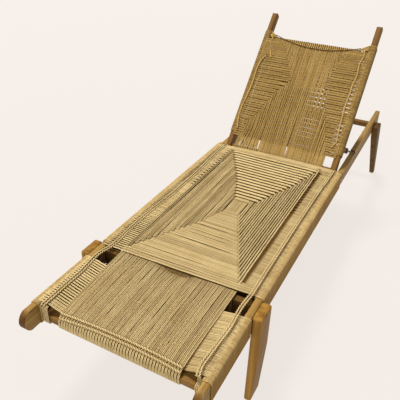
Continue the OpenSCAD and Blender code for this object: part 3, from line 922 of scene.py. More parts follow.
@dataclass
class SideRun:
    """The measures of the crosswise cords between a side rail and the lengthwise cords.

    Args:
        rail_edge: Where the cords leave the rail's turns.
        panel_edge: Where they pass under the outermost lengthwise cords.
        falls_from: Where they start to fall towards the panel's height.
        top: The height at the rail.
    """

    rail_edge: float = 0.2650
    panel_edge: float = 0.1900
    falls_from: float = 0.2400
    top: float = 0.3404

    def profile(self, inner_height: np.ndarray) -> tuple[np.ndarray, np.ndarray]:
        """The cords' route from the rail inward.

        Args:
            inner_height: The height of each cord at the panel's edge.

        Returns:
            The distances from the middle, of shape (points,), and the heights, (cords, points).
        """
        out = np.array([self.rail_edge, 0.2615, 0.2570, 0.2530, 0.2490, 0.2450, 0.2410, 0.2360, 0.2230,
                        0.2090, 0.1950, self.panel_edge - 0.004, self.panel_edge - 0.012])
        share = soft_step((self.falls_from - out) / (self.falls_from - self.panel_edge))
        height = self.top * (1 - share) + inner_height[:, None] * share
        height[:, :2] = self.top - np.array(RAIL_FALL)
        # One more point lets the shade beside the lengthwise cords end sharply.
        height = np.insert(height, 10, height[:, 10] + 0.43 * (height[:, 9] - height[:, 10]), axis=1)
        return np.insert(out, 10, 0.2010), height


@dataclass
class FootPanel:
    """The cords of the foot: the close lengthwise sheet, its twined rows and the side strips.

    Args:
        lounge: What the pieces share.
        columns: The lengthwise pairs.
        pitch: Their usual distance from one to the next.
        foot_span: The first and last pair's place at the foot rail.
        head_span: The same at the seat's front rail.
        face: The front of the sheet, along the lounge from the first turn of cord.
        head_at: The sheet's end under the seat's front loops.
        twine: The twist of the two rows over the foot rail.
        row_pitch: The crosswise pairs' distance from one to the next.
        strip_from: The start of the side strips.
        strip_length: Their length.
        under_height: The height of the cords that return below them.
    """

    lounge: Lounge
    columns: int = 43
    pitch: float = 0.0090
    foot_span: tuple[float, float] = (-0.1865, 0.1870)
    head_span: tuple[float, float] = (-0.1925, 0.1935)
    face: float = 0.0029
    head_at: float = 0.3160
    twine: Twine = Twine(twist=0.0176, swing=0.0017, rise=0.0024, radius=0.0019)
    row_pitch: float = 0.0092
    strip_from: float = 0.0115
    strip_length: float = 0.2205
    under_height: float = 0.2680

    def build(self) -> None:
        """Lays every cord of the foot."""
        self.sheet()
        self.under()
        self.twined_rows()
        for side in Side:
            self.strip(side)
            self.lashing(side)

    def height(self, along: np.ndarray) -> np.ndarray:
        """The sheet's height over the floor.

        Args:
            along: Distances from the foot's first turn of cord.

        Returns:
            The heights, as many as the given distances.
        """
        stops = [0.0029, 0.0045, 0.0075, 0.0115, 0.0160, 0.0300, 0.0600, 0.1200, 0.2260, 0.3160]
        heights = [0.3010, 0.3062, 0.3110, 0.3155, 0.3190, 0.3225, 0.3265, 0.3300, 0.3335, 0.3350]
        return np.interp(along, stops, heights)

    def column_lines(self, along: np.ndarray) -> np.ndarray:
        """The middle line of each lengthwise pair, parted at the dark lines.

        Args:
            along: The points' distances from the first turn of cord, of shape (points,).

        Returns:
            The places across, of shape (columns, points).
        """
        foot = np.linspace(*self.foot_span, self.columns)[:, None]
        head = np.linspace(*self.head_span, self.columns)[:, None]
        middle = foot + (head - foot) * np.clip(along / self.head_at, 0, 1)
        gaps = [(0.043, 0.090, 0.240, 0.0020), (0.055, 0.060, 0.110, 0.0012),
                (-0.075, 0.060, 0.115, 0.0020), (-0.098, 0.180, 0.230, 0.0016),
                (0.018, 0.045, 0.080, 0.0018), (0.120, 0.055, 0.080, 0.0014),
                (-0.135, 0.120, 0.250, 0.0012), (-0.068, 0.200, 0.300, 0.0016),
                (0.160, 0.140, 0.300, 0.0012), (-0.150, 0.060, 0.200, 0.0010),
                (0.090, 0.120, 0.200, 0.0010)]
        at_head = (-0.048, -0.034, -0.020, -0.008, 0.006, 0.016, 0.054)
        gaps += [(place, 0.240, 0.330, 0.0016) for place in at_head]
        gaps += [(place, 0.215, 0.330, 0.0011) for place in np.arange(0.068, 0.185, 0.0184)]
        gaps += [(place, 0.230, 0.330, 0.0009) for place in np.arange(-0.180, -0.060, 0.0276)]
        return parted(middle, along, gaps, self.pitch)

    def front_facing(self, along: np.ndarray) -> np.ndarray:
        """The direction that the sheet faces at each point: up, and forward down its front."""
        front = soft_step((self.face + 0.013 - along) / 0.013)[:, None]
        return front * np.array([0.0, -1.0, 0.1]) + (1 - front) * np.array([0.0, 0.0, 1.0])

    def sheet(self) -> None:
        """Lays the pairs of the sheet, over the foot rail, down its front and under it."""
        piece = CordPiece("foot_sheet_cords")
        flat = np.concatenate([np.linspace(self.head_at, 0.018, 70), [0.0140, 0.0100, 0.0070, 0.0045]])
        down = np.array([[self.face, self.face, self.face, self.face + 0.0015, 0.010, 0.024, 0.040],
                         [0.3010, 0.2920, 0.2860, 0.2800, 0.2778, 0.2776, 0.2776]])
        along = np.concatenate([flat, down[0]])
        height = np.concatenate([self.height(flat), down[1]])
        middle = self.column_lines(along)
        middle += wander(piece.random, self.columns, along, 0.00022, 0.12)
        # The pairs are drawn together under the twined rows, down the front and at the head.
        twined = bell(along - self.twine_place(middle), 0.010) * (along > self.face + 0.004)
        front = np.clip((0.016 - along) / 0.006, 0, 1) * (height > 0.300)
        drawn = np.maximum(twined, front)
        head = soft_step((along - 0.235) / 0.07)
        # The middle sinks before the seat, where painted shade darkens it.
        height = height - 0.0055 * soft_step((along - 0.255) / 0.04) * bell(middle - 0.005, 0.055)
        shade = 1 - 0.55 * soft_step((along - 0.285) / 0.022) * bell(middle, 0.075)
        # Painted light brightens the pairs over the rail's front edge and down its front.
        shade += 0.55 * soft_step((0.016 - along) / 0.006)
        piece.lay_pairs(self.lounge.level, along, middle, height,
                        half=0.00212 - 0.00044 * drawn - 0.00010 * head,
                        radius=0.00212 - 0.00042 * drawn - 0.00008 * head,
                        drift=Drift((0.00016, 0.03), (0.00020, 0.05)),
                        shade=shade, out=self.front_facing(along))
        piece.finish(self.lounge.cord, Body.FRAME, ["foot_cord_panel"])

    def under(self) -> None:
        """Lays the cords that return under the sheet."""
        piece = CordPiece("foot_under_cord_rows", sides=5)
        low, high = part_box("foot_under_cords")
        across = np.linspace(low.x + 0.002, high.x - 0.002, 84)[:, None]
        start = self.lounge.level.origin.y
        along = np.array([low.y - start + 0.001, high.y - start - 0.001])
        height = np.array([high.z - 0.002, low.z + 0.002])
        routes = self.lounge.level.points(across, along, height)
        # The returning cords get one low tone as painted shade.
        piece.lay(routes, SIDEWAYS, radius=0.0022, tone=0.35, out=self.lounge.level.facing)
        piece.finish(self.lounge.cord, Body.FRAME, ["foot_under_cords"])

    @staticmethod
    def twine_place(across: np.ndarray) -> np.ndarray:
        """The bowed line between the two twined rows, as a distance from the first turn."""
        return 0.0188 - 0.18 * (across - 0.02) ** 2

    def twined_rows(self) -> None:
        """Lays the two twined rows across the sheet over the foot rail."""
        piece = CordPiece("foot_twined_rows", sides=8)
        across = np.linspace(-0.1885, 0.1905, 420)
        for offset in (0.0052, -0.0052):
            along = self.twine_place(across) + offset
            piece.lay_rope(self.lounge.level, across, along, self.height(along) + 0.0040, self.twine,
                           crosswise=True, start=300 * offset, out=(0, -0.5, 0.87))
        piece.finish(self.lounge.cord, Body.FRAME, ["foot_twine_row"])

    def strip(self, side: Side) -> None:
        """Lays the crosswise pairs beside the sheet and the cords that return below them.

        Args:
            side: The lounge's side.
        """
        piece = CordPiece(f"foot_strip_cords_{side.word}")
        open_side = side is Side.LEFT
        pairs = round(self.strip_length / self.row_pitch)
        places = spaced(self.strip_from, self.strip_length / pairs, pairs)
        places += piece.random.normal(0, 0.0002, pairs)
        out, height = SideRun().profile(self.height(places) - 0.0020)
        # On the left the pairs part between the ropes and the sheet, but for two places where they lie close.
        close = np.maximum(bell(places - 0.158, 0.010), soft_step((0.050 - places) / 0.020))[:, None]
        inner = soft_step((0.236 - out) / 0.012) * open_side
        half = side_pinch(out, open_side) - 0.00010 - 0.00068 * inner * (1 - close)
        lean = 0.010 * np.exp(-places / 0.06)[:, None] * soft_step((0.245 - out) / 0.055)
        # Painted shade darkens the right pairs where they pass under the sheet and beside the ropes.
        under_sheet = 1 - 0.90 * soft_step((0.2000 - out) / 0.004)
        plane = self.lounge.level.towards(side)
        radius = np.maximum(half + 0.00008, 0.0017)
        shade = 1.8 if open_side else 1.15 * under_sheet * rope_shadow(places, out)
        piece.lay_pairs(plane, out, places[:, None] + lean, height, half, radius=radius, shade=shade,
                        drift=Drift((0.00012, 0.06)), crosswise=True)
        # The cords below, and a thicker one that ties the two rails before the seat, dark with painted shade.
        below = np.arange(0.052, 0.2875, 0.0043)[:, None]
        for along, reach, radius in ((below, 0.1880, 0.0022), (np.array([[0.2923]]), 0.0, 0.0028)):
            routes = plane.points(np.array([0.2538, reach]), along, self.under_height)
            piece.lay(routes, plane.ahead, radius=radius, tone=0.10, out=plane.facing)
        piece.finish(self.lounge.cord, Body.FRAME, [f"foot_side_strip_{side.word}"])

    def lashing(self, side: Side) -> None:
        """Lays the cords that bind an end of the foot rail, down its front and under it.

        Args:
            side: The lounge's side.
        """
        piece = CordPiece(f"foot_lashing_cords_{side.word}")
        # The first and last cord's place and the number of cords in each group.
        groups = {Side.LEFT: ((-0.2470, -0.2470, 1), (-0.2410, -0.2235, 5)),
                  Side.RIGHT: ((0.2350, 0.2425, 3),)}
        across = np.concatenate([np.linspace(*group) for group in groups[side]])
        along = np.array([0.0080, 0.0030, 0.0012, 0.0010, 0.0010, 0.0010, 0.0030, 0.0100, 0.0250, 0.0400])
        height = np.array([0.3390, 0.3370, 0.3320, 0.3200, 0.3000, 0.2860, 0.2785, 0.2770, 0.2770, 0.2770])
        if side is Side.RIGHT:
            along[:4] = [0.0125, 0.0145, 0.0160, 0.0060]
            height[:4] = [0.3390, 0.3300, 0.3080, 0.3052]
        routes = self.lounge.level.points(across[:, None], along, height)
        piece.lay(routes, SIDEWAYS, radius=0.0015, shade=1.6, out=(0, -0.8, 0.6))
        piece.finish(self.lounge.cord, Body.FRAME, [f"foot_lashing_{side.word}"])


@dataclass
class EdgeTwines:
    """The two twined ropes along each edge of the seat and foot.

    Args:
        lounge: What the pieces share.
        end: The ropes' end, from the first turn of cord.
        height: Their height.
        apart: Half the distance between the two.
        twine: Their twist.
    """

    lounge: Lounge
    end: float = 1.1480
    height: float = 0.3424
    apart: float = 0.0041
    twine: Twine = Twine(twist=0.0180, swing=0.0016, rise=0.0020, radius=0.0018)

    def build(self) -> None:
        """Lays both ropes of each side along its wandering line, twisted against each other."""
        along = np.linspace(0.001, self.end, 520)
        for side, (stops, places) in ROPE_LINES.items():
            piece = CordPiece(f"edge_twine_cords_{side.word}")
            middle = smooth_line(along, stops, places)
            for spin in (1.0, -1.0):
                offset = -spin * self.apart
                piece.lay_rope(self.lounge.level, along, side.value * (middle + offset), self.height,
                               self.twine, spin=spin, start=200 * offset)
            piece.finish(self.lounge.cord, Body.FRAME, [f"edge_rope_{side.word}"])


def smooth_line(at: np.ndarray, stops: Sequence[float], values: Sequence[float],
                reach: int = 12) -> np.ndarray:
    """Reads a line through the given stops, with soft bends.

    Args:
        at: Where the line is read.
        stops: The places of its bends.
        values: Its values there.
        reach: The points on each side over which a bend is softened.

    Returns:
        The line's values, as many as the places where it is read.
    """
    coarse = np.pad(np.interp(at, stops, values), reach, mode="edge")
    window = np.hanning(2 * reach + 1)
    return np.convolve(coarse, window / window.sum(), mode="valid")


@dataclass
class SeatWeave:
    """The seat: lengthwise pairs and crosswise pairs that pass over and under each other.

    The lengthwise pairs lie on top at both sides, and the crosswise pairs in the front and rear
    triangles, whose borders climb by one column at each step. From the front, the rows are close
    ones before the triangle, those that climb its steps, still ones at its tip, two before the rear
    triangle, its spaced stripes, and the close rear band.

    Args:
        lounge: What the pieces share.
        high: The height of the cords that lie on top.
        low: The height of those below.
        left_columns: The borders of the columns on the left.
        middle_columns: The first and last border of the middle ones, and how many borders they have.
        right_columns: The same on the right.
        front_from: The start of the front rows.
        front_pitch: The distance from one front row to the next.
        front_rows: How many there are.
        step: The rise of the front triangle's border for each column.
        steps: The steps of that border.
        still_rows: The rows at the front triangle's tip.
        still_pitch: The distance from one of them to the next.
        rear_from: The start of the rear triangle.
        rear_pitch: The distance from one of its stripes to the next.
        stripes: How many stripes it has.
        stripe_half: Half the distance between the two pairs of a stripe.
        band_rows: The rows of the rear band.
        band_pitch: The distance from one of them to the next.
    """

    lounge: Lounge
    high: float = 0.3404
    low: float = 0.3350
    left_columns: tuple[float, ...] = (
        -0.1965, -0.1830, -0.1720, -0.1620, -0.1505, -0.1395, -0.1285, -0.1175, -0.1075, -0.0970, -0.0855,
        -0.0745, -0.0650, -0.0555, -0.0475, -0.0400, -0.0330, -0.0260, -0.0180)
    middle_columns: tuple[float, float, int] = (-0.0180, 0.0420, 8)
    right_columns: tuple[float, float, int] = (0.0420, 0.1945, 19)
    front_from: float = 0.3105
    front_pitch: float = 0.0095
    front_rows: int = 3
    step: float = 0.0186
    steps: int = 18
    still_rows: int = 9
    still_pitch: float = 0.0090
    rear_from: float = 0.7730
    rear_pitch: float = 0.0203
    stripes: int = 17
    stripe_half: float = 0.0031
    band_rows: int = 4
    band_pitch: float = 0.0082

    def __post_init__(self) -> None:
        """Works out every column's and row's place and which lies on top where they cross."""
        self.place_columns()
        self.place_rows()
        self.cross()

    def build(self) -> None:
        """Lays the columns, the rows, the returning cords and the loops round the two seat rails."""
        self.lay_columns()
        self.lay_rows()
        self.under()
        self.loops("seat_front_wrap", "seat_front_rail")
        self.loops("seat_rear_wrap", "seat_rear_rail")

    def place_columns(self) -> None:
        """Works out the columns' borders and middles."""
        middle, right = np.linspace(*self.middle_columns), np.linspace(*self.right_columns)
        self.edges = np.concatenate([self.left_columns, middle[1:], right[1:]])
        self.column_at = (self.edges[1:] + self.edges[:-1]) / 2
        self.columns = len(self.column_at)

    def place_rows(self) -> None:
        """Works out the rows' places, and marks the stripes."""
        self.stair_from = self.front_from + self.front_rows * self.front_pitch
        self.still_from = self.stair_from + self.steps * self.step
        band_from = self.rear_from + self.stripes * self.rear_pitch
        stripe = np.repeat(spaced(self.rear_from, self.rear_pitch, self.stripes), 2)
        parts = [
            spaced(self.front_from, self.front_pitch, self.front_rows),
            spaced(self.stair_from, self.step / 2, 2 * self.steps),
            spaced(self.still_from, self.still_pitch, self.still_rows),
            self.rear_from - np.array([0.0130, 0.0045]),
            stripe + np.tile([-self.stripe_half, self.stripe_half], self.stripes),
            spaced(band_from, self.band_pitch, self.band_rows),
        ]
        self.row_at = np.concatenate(parts)
        striped = [False, False, False, False, True, False]
        self.stripe = np.repeat(striped, [len(part) for part in parts])[:, None]

    def cross(self) -> None:
        """Works out which cords lie on top, from the borders of the two triangles."""
        number = np.arange(self.columns)
        steps_in = np.minimum(np.minimum(number, self.columns - 1 - number), self.steps)
        self.front_edge = self.stair_from + self.step * steps_in
        rear_edge = self.rear_from + self.rear_pitch * (self.stripes - steps_in)
        right = self.column_at > self.right_columns[0]
        # On the right the border follows the photograph's steps, two columns wide in places.
        stops = [0.060, 0.068, 0.085, 0.132, 0.152, 0.180, 0.190]
        border = np.interp(self.column_at, stops, [0, 0.5, 3, 8, 11, 16, 18])
        rear_edge[right] = self.rear_from + self.rear_pitch * np.round(border[right])
        rear_edge[(number > 17) & ~right] = self.still_from + self.still_rows * self.still_pitch
        rows = self.row_at[:, None]
        self.column_over = (rows > self.front_edge) & (rows < rear_edge)

    def row_line(self, across: np.ndarray) -> np.ndarray:
        """Each row's place along the lounge, slanting at the front and bowed at the rear.

        Args:
            across: Distances from the lounge's middle, of shape (points,).

        Returns:
            The places, of shape (rows, points).
        """
        share = np.clip((0.46 - self.row_at) / 0.15, 0, 1)[:, None]
        lag = np.clip((self.row_at - 1.09) / 0.06, 0, 1)[:, None]
        bow = lag * (0.0075 * (1 - ((across - 0.02) / 0.22) ** 2) + 0.022 * across)
        return self.row_at[:, None] + 0.036 * share * across + bow

    def column_gaps(self, random: np.random.Generator) -> list[Gap | tuple]:
        """The dark lines between columns: long ones, and one that tapers from each step.

        Args:
            random: Where the lengths of the lines on the right come from.

        Returns:
            The lines.
        """
        gaps = [(-0.1825, 0.46, 1.15, 0.0034), (-0.0555, 0.560, 0.860, 0.0026),
                (-0.0180, 0.640, 0.790, 0.0030), (0.0420, 0.650, 0.780, 0.0030),
                (0.0589, 0.640, 0.830, 0.0030), (-0.0330, 0.62, 0.82, 0.0016),
                (-0.1175, 0.730, 0.990, 0.0024), (-0.0970, 0.740, 0.940, 0.0026),
                (-0.1075, 0.800, 0.970, 0.0020), (-0.0650, 0.76, 0.92, 0.0016),
                (0.1013, 0.66, 0.86, 0.0014), (0.1267, 0.60, 0.90, 0.0014)]
        # The lengths in 1.1 mm and the widths in 0.1 mm of the lines on the left.
        lengths = [60, 50, 65, 60, 140, 50, 35, 60, 90, 60, 45, 55, 120, 60, 55, 60, 60, 80]
        widths = [26, 26, 30, 24, 34, 24, 22, 26, 38, 36, 26, 26, 32, 26, 24, 26, 28, 28]
        for column, (length, width) in enumerate(zip(lengths, widths, strict=True)):
            start = self.front_edge[column]
            gaps.append(Gap(self.edges[column + 1], start, start + 0.0011 * length, 0.0001 * width, True))
        for column in range(25, self.columns):
            start = self.front_edge[column]
            gaps.append(Gap(self.edges[column], start, start + random.uniform(0.03, 0.10), 0.0018, True))
        return gaps

    def lay_columns(self) -> None:
        """Lays the lengthwise pairs."""
        piece = CordPiece("seat_lengthwise_cords")
        start = np.array([[0.2935, 0.2975, 0.3020, 0.3070], [0.3262, 0.3296, 0.3312, 0.3330]])
        end = np.array([[1.1380, 1.1410, 1.1440, 1.1455], [0.3330, 0.3312, 0.3290, 0.3240]])
        keep = (self.row_at > 0.308) & (self.row_at < 1.135)
        along = np.concatenate([start[0], self.row_at[keep], end[0]])
        levels = np.where(self.column_over, self.high, self.low - 0.0010 * self.stripe).T[:, keep]
        count = self.columns
        height = np.concatenate([np.tile(start[1], (count, 1)), levels, np.tile(end[1], (count, 1))], axis=1)
        # The left columns are uneven in tone; the right ones are brighter, and brightest at the edge.
        streak = np.where(self.column_at < -0.018, piece.random.uniform(0.70, 1.20, count), 1.0)
        streak += 0.28 * (self.column_at > 0.042) + 0.50 * (self.column_at > 0.176)
        # Painted shade darkens the pairs at their ends under the rails' loops and where they pass under the
        # rows.
        shade = np.full((count, len(along)), 0.25)
        shade[:, 4:-4] = np.where(self.column_over.T[:, keep], streak[:, None], 0.04)
        middle = np.tile(self.column_at[:, None], len(along))
        middle = parted(middle, along, self.column_gaps(piece.random), self.still_pitch)
        middle += wander(piece.random, count, along, 0.00022, 0.15)
        # A quarter of a column's width, less the dark line beside each cord on the right.
        half = (self.edges[1:] - self.edges[:-1])[:, None] / 4
        places = [self.column_at > 0.148, self.column_at > 0.042]
        spare = np.select(places, [0.00082, 0.00072], 0.00006)[:, None]
        piece.lay_pairs(self.lounge.level, along, middle, height, half - spare,
                        radius=np.minimum(half + 0.00004 - spare, 0.0024),
                        drift=Drift((0.00012, 0.04), (0.0002, 0.06)), shade=shade)
        piece.finish(self.lounge.cord, Body.FRAME, ["seat_cord_panel"])

    def row_shade(self, outer: np.ndarray) -> np.ndarray:
        """The tone of every row at every point, carrying painted shade and painted light.

        Args:
            outer: The points beside the columns, as distances from the middle, of shape (points,).

        Returns:
            Shares of shape (rows, all points).
        """
        # On the left, painted light brightens the rows inside the rope, with a line of painted shadow just
        # outside it.
        left = np.interp(outer, [0.2380, 0.2450, 0.2530], [1.25, 0.75, 1.0])
        # Painted shade darkens the rows under the columns; painted light brightens those on top, most the
        # raised stripes.
        woven = np.where(self.column_over, 0.08, np.where(self.stripe, 1.9, 1.12))
        right = rope_shadow(self.row_at, outer[::-1])
        # Beside the columns the rows get painted shade, but not before and behind the weave.
        covered = ((self.row_at > 0.345) & (self.row_at < 1.11))[:, None]
        right[:, :3] = np.where(covered, [0.04, 0.10, 0.60], 1.0)
        return np.concatenate([np.tile(left, (len(self.row_at), 1)), woven, right], axis=1)

    def lay_rows(self) -> None:
        """Lays the crosswise pairs, from rail to rail."""
        piece = CordPiece("seat_crosswise_cords")
        outer = np.array([0.2650, 0.2615, 0.2570, 0.2540, 0.2510, 0.2480, 0.2450, 0.2380, 0.2250, 0.2120,
                          0.2065, 0.2030, 0.1990])
        across = np.concatenate([-outer, self.column_at, outer[::-1]])
        side = np.full((len(self.row_at), len(outer)), self.high)
        side[:, :2] -= RAIL_FALL
        woven = np.where(self.column_over, self.low, self.high + 0.0012 * self.stripe)
        height = np.concatenate([side, woven, side[:, ::-1]], axis=1)
        # The stripes come together in the weave and spread evenly beside it.
        inner = soft_step((0.212 - np.abs(across)) / 0.012)
        line = self.row_line(across)
        even = self.rear_from + (np.cumsum(self.stripe)[:, None] - 0.5) * self.rear_pitch / 2
        line = np.where(self.stripe, line * inner + (line - self.row_at[:, None] + even) * (1 - inner), line)
        gaps = [(0.3330, -0.190, 0.130, 0.0026), (0.3235, -0.060, 0.110, 0.0014),
                (0.3630, -0.200, 0.120, 0.0022), (0.3450, -0.080, 0.120, 0.0010),
                (0.4600, -0.120, 0.150, 0.0032), (0.5000, -0.110, 0.140, 0.0028),
                (0.5185, -0.110, 0.130, 0.0034), (0.5500, -0.090, 0.085, 0.0036),
                (0.5700, -0.060, 0.070, 0.0014), (0.4320, -0.120, 0.020, 0.0010)]
        line = parted(line, across, gaps, 0.0093)
        left = across < -0.196
        opened = soft_step((0.530 - self.row_at) / 0.09)[:, None] * (left & (across > -0.234))
        half = np.where(left, side_pinch(-across, True), SIDE_HALF) - 0.00012 - 0.00065 * opened
        half = np.where(self.stripe, 0.00142 * inner + half * (1 - inner), half)
        thin = 0.00155 * inner + half * (1 - inner)
        piece.lay_pairs(self.lounge.level, across, line, height, half,
                        radius=np.where(self.stripe, thin, np.maximum(half + 0.00003, 0.00165)),
                        drift=Drift((0.00018, 0.10), (0.00018, 0.05)), crosswise=True,
                        shade=self.row_shade(outer))
        piece.finish(self.lounge.cord, Body.FRAME, ["seat_side_strip_left", "seat_side_strip_right"])

    def under(self) -> None:
        """Lays the cords that return under the seat, from rail to rail."""
        piece = CordPiece("seat_under_cord_rows", sides=5)
        low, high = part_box("seat_under_cords")
        start = self.lounge.level.origin.y
        along = np.arange(low.y - start + 0.002, high.y - start - 0.001, 0.0043)[:, None]
        across = np.array([low.x + 0.0005, high.x - 0.0005])
        routes = self.lounge.level.points(across, along, (low.z + high.z) / 2)
        level = self.lounge.level
        # The returning cords get one low tone as painted shade.
        piece.lay(routes, level.ahead, radius=0.0021, tone=0.35, out=level.behind)
        piece.finish(self.lounge.cord, Body.FRAME, ["seat_under_cords"])

    def loops(self, node: str, rail: str) -> None:
        """Lays the loops of the lengthwise cords round one seat rail.

        Args:
            node: The CAD sleeve that the loops stand for.
            rail: The rail inside them.
        """
        piece = CordPiece(f"{node}_loops")
        low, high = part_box(rail)
        start = self.lounge.level.origin.y
        section = ((low.y - start, low.z), (high.y - start, high.z))
        wind_across(piece, self.lounge.level, section, self.column_at, 0.0020)
        piece.finish(self.lounge.cord, Body.FRAME, [node])


def wind_across(piece: CordPiece, plane: Plane, section: tuple[Corner, Corner], middles: np.ndarray,
                half: float, tone: float | None = None) -> None:
    """Winds a pair of closed turns round a cross rail at each of the given places.

    Args:
        piece: The piece that takes the turns.
        plane: The plane that the section's corners are given in.
        section: The rail's low and high corner, along and out.
        middles: The middle of each pair, across.
        half: Half the distance between a pair's two turns.
        tone: The turns' tone, or None for a random one each.
    """
    loop = ring(*section, LOOP_BEND)
    places = np.sort(np.concatenate([middles - half, middles + half]))
    piece.lay(plane.points(places[:, None], loop[:, 0], loop[:, 1]), SIDEWAYS, closed=True, tone=tone)


@dataclass
class StileWraps:
    """Close turns of cord round the stiles, and the diagonal cords over the top rail's ends.

    Args:
        lounge: What the pieces share.
        section: The right stile's low and high corner, across and out of the backrest.
        wrap_from: The start of the turns, along the stiles.
        wrap_to: Their end.
        tones: The share of the tone on the stile's sides, under painted shade, and what is added to it on its
            face.
        shoulder_cords: The diagonal cords in each corner, on each side of the rail.
    """

    lounge: Lounge
    section: tuple[Corner, Corner] = ((0.2240, -0.0180), (0.2480, 0.0180))
    wrap_from: float = 0.0920
    wrap_to: float = 0.5900
    tones: tuple[float, float] = (0.34, 0.44)
    shoulder_cords: int = 7

    def build(self) -> None:
        """Winds both stiles and fills both corners."""
        for side in Side:
            self.wind(side)
            self.shoulder(side)

    def wind(self, side: Side) -> None:
        """Winds one stile.

        Args:
            side: The lounge's side.
        """
        piece = CordPiece(f"stile_turns_{side.word}")
        loop = ring(*self.section, TURN_BEND)
        turns = round((self.wrap_to - self.wrap_from) / TURN_PITCH)
        places = np.linspace(self.wrap_from + 0.002, self.wrap_to - 0.002, turns)
        places += piece.random.normal(0, 0.0002, turns)
        routes = self.lounge.back.towards(side).points(loop[:, 0], places[:, None], loop[:, 1])
        # Painted shade darkens the turns on the stile's sides and back.
        shade = worn(loop[:, 1] - self.section[1][1], *self.tones)
        piece.lay(routes, self.lounge.back.ahead, closed=True, shade=shade)
        piece.finish(self.lounge.back_cord, Body.BACKREST, [f"stile_wrap_{side.word}"])

    def shoulder(self, side: Side) -> None:
        """Fills the corner between the stile and the top rail with diagonal cords, in front and behind.

        Args:
            side: The lounge's side.
        """
        piece = CordPiece(f"shoulder_cords_{side.word}")
        share = np.linspace(0, 1, self.shoulder_cords)[:, None]
        step = np.linspace(0, 1, 9)
        across = (0.1830 + 0.030 * share) * (1 - step) + 0.2205 * step
        along = 0.5640 * (1 - step) + (0.5890 - 0.0230 * share) * step
        out = 0.0125 + 0.0018 * np.sin(math.pi * step)
        back = self.lounge.back.towards(side)
        for face, facing in ((1.0, back.facing), (-1.0, back.behind)):
            piece.lay(back.points(across, along, face * out), back.behind, radius=0.0019, out=facing)
        piece.finish(self.lounge.back_cord, Body.BACKREST, [f"back_shoulder_{side.word}"])


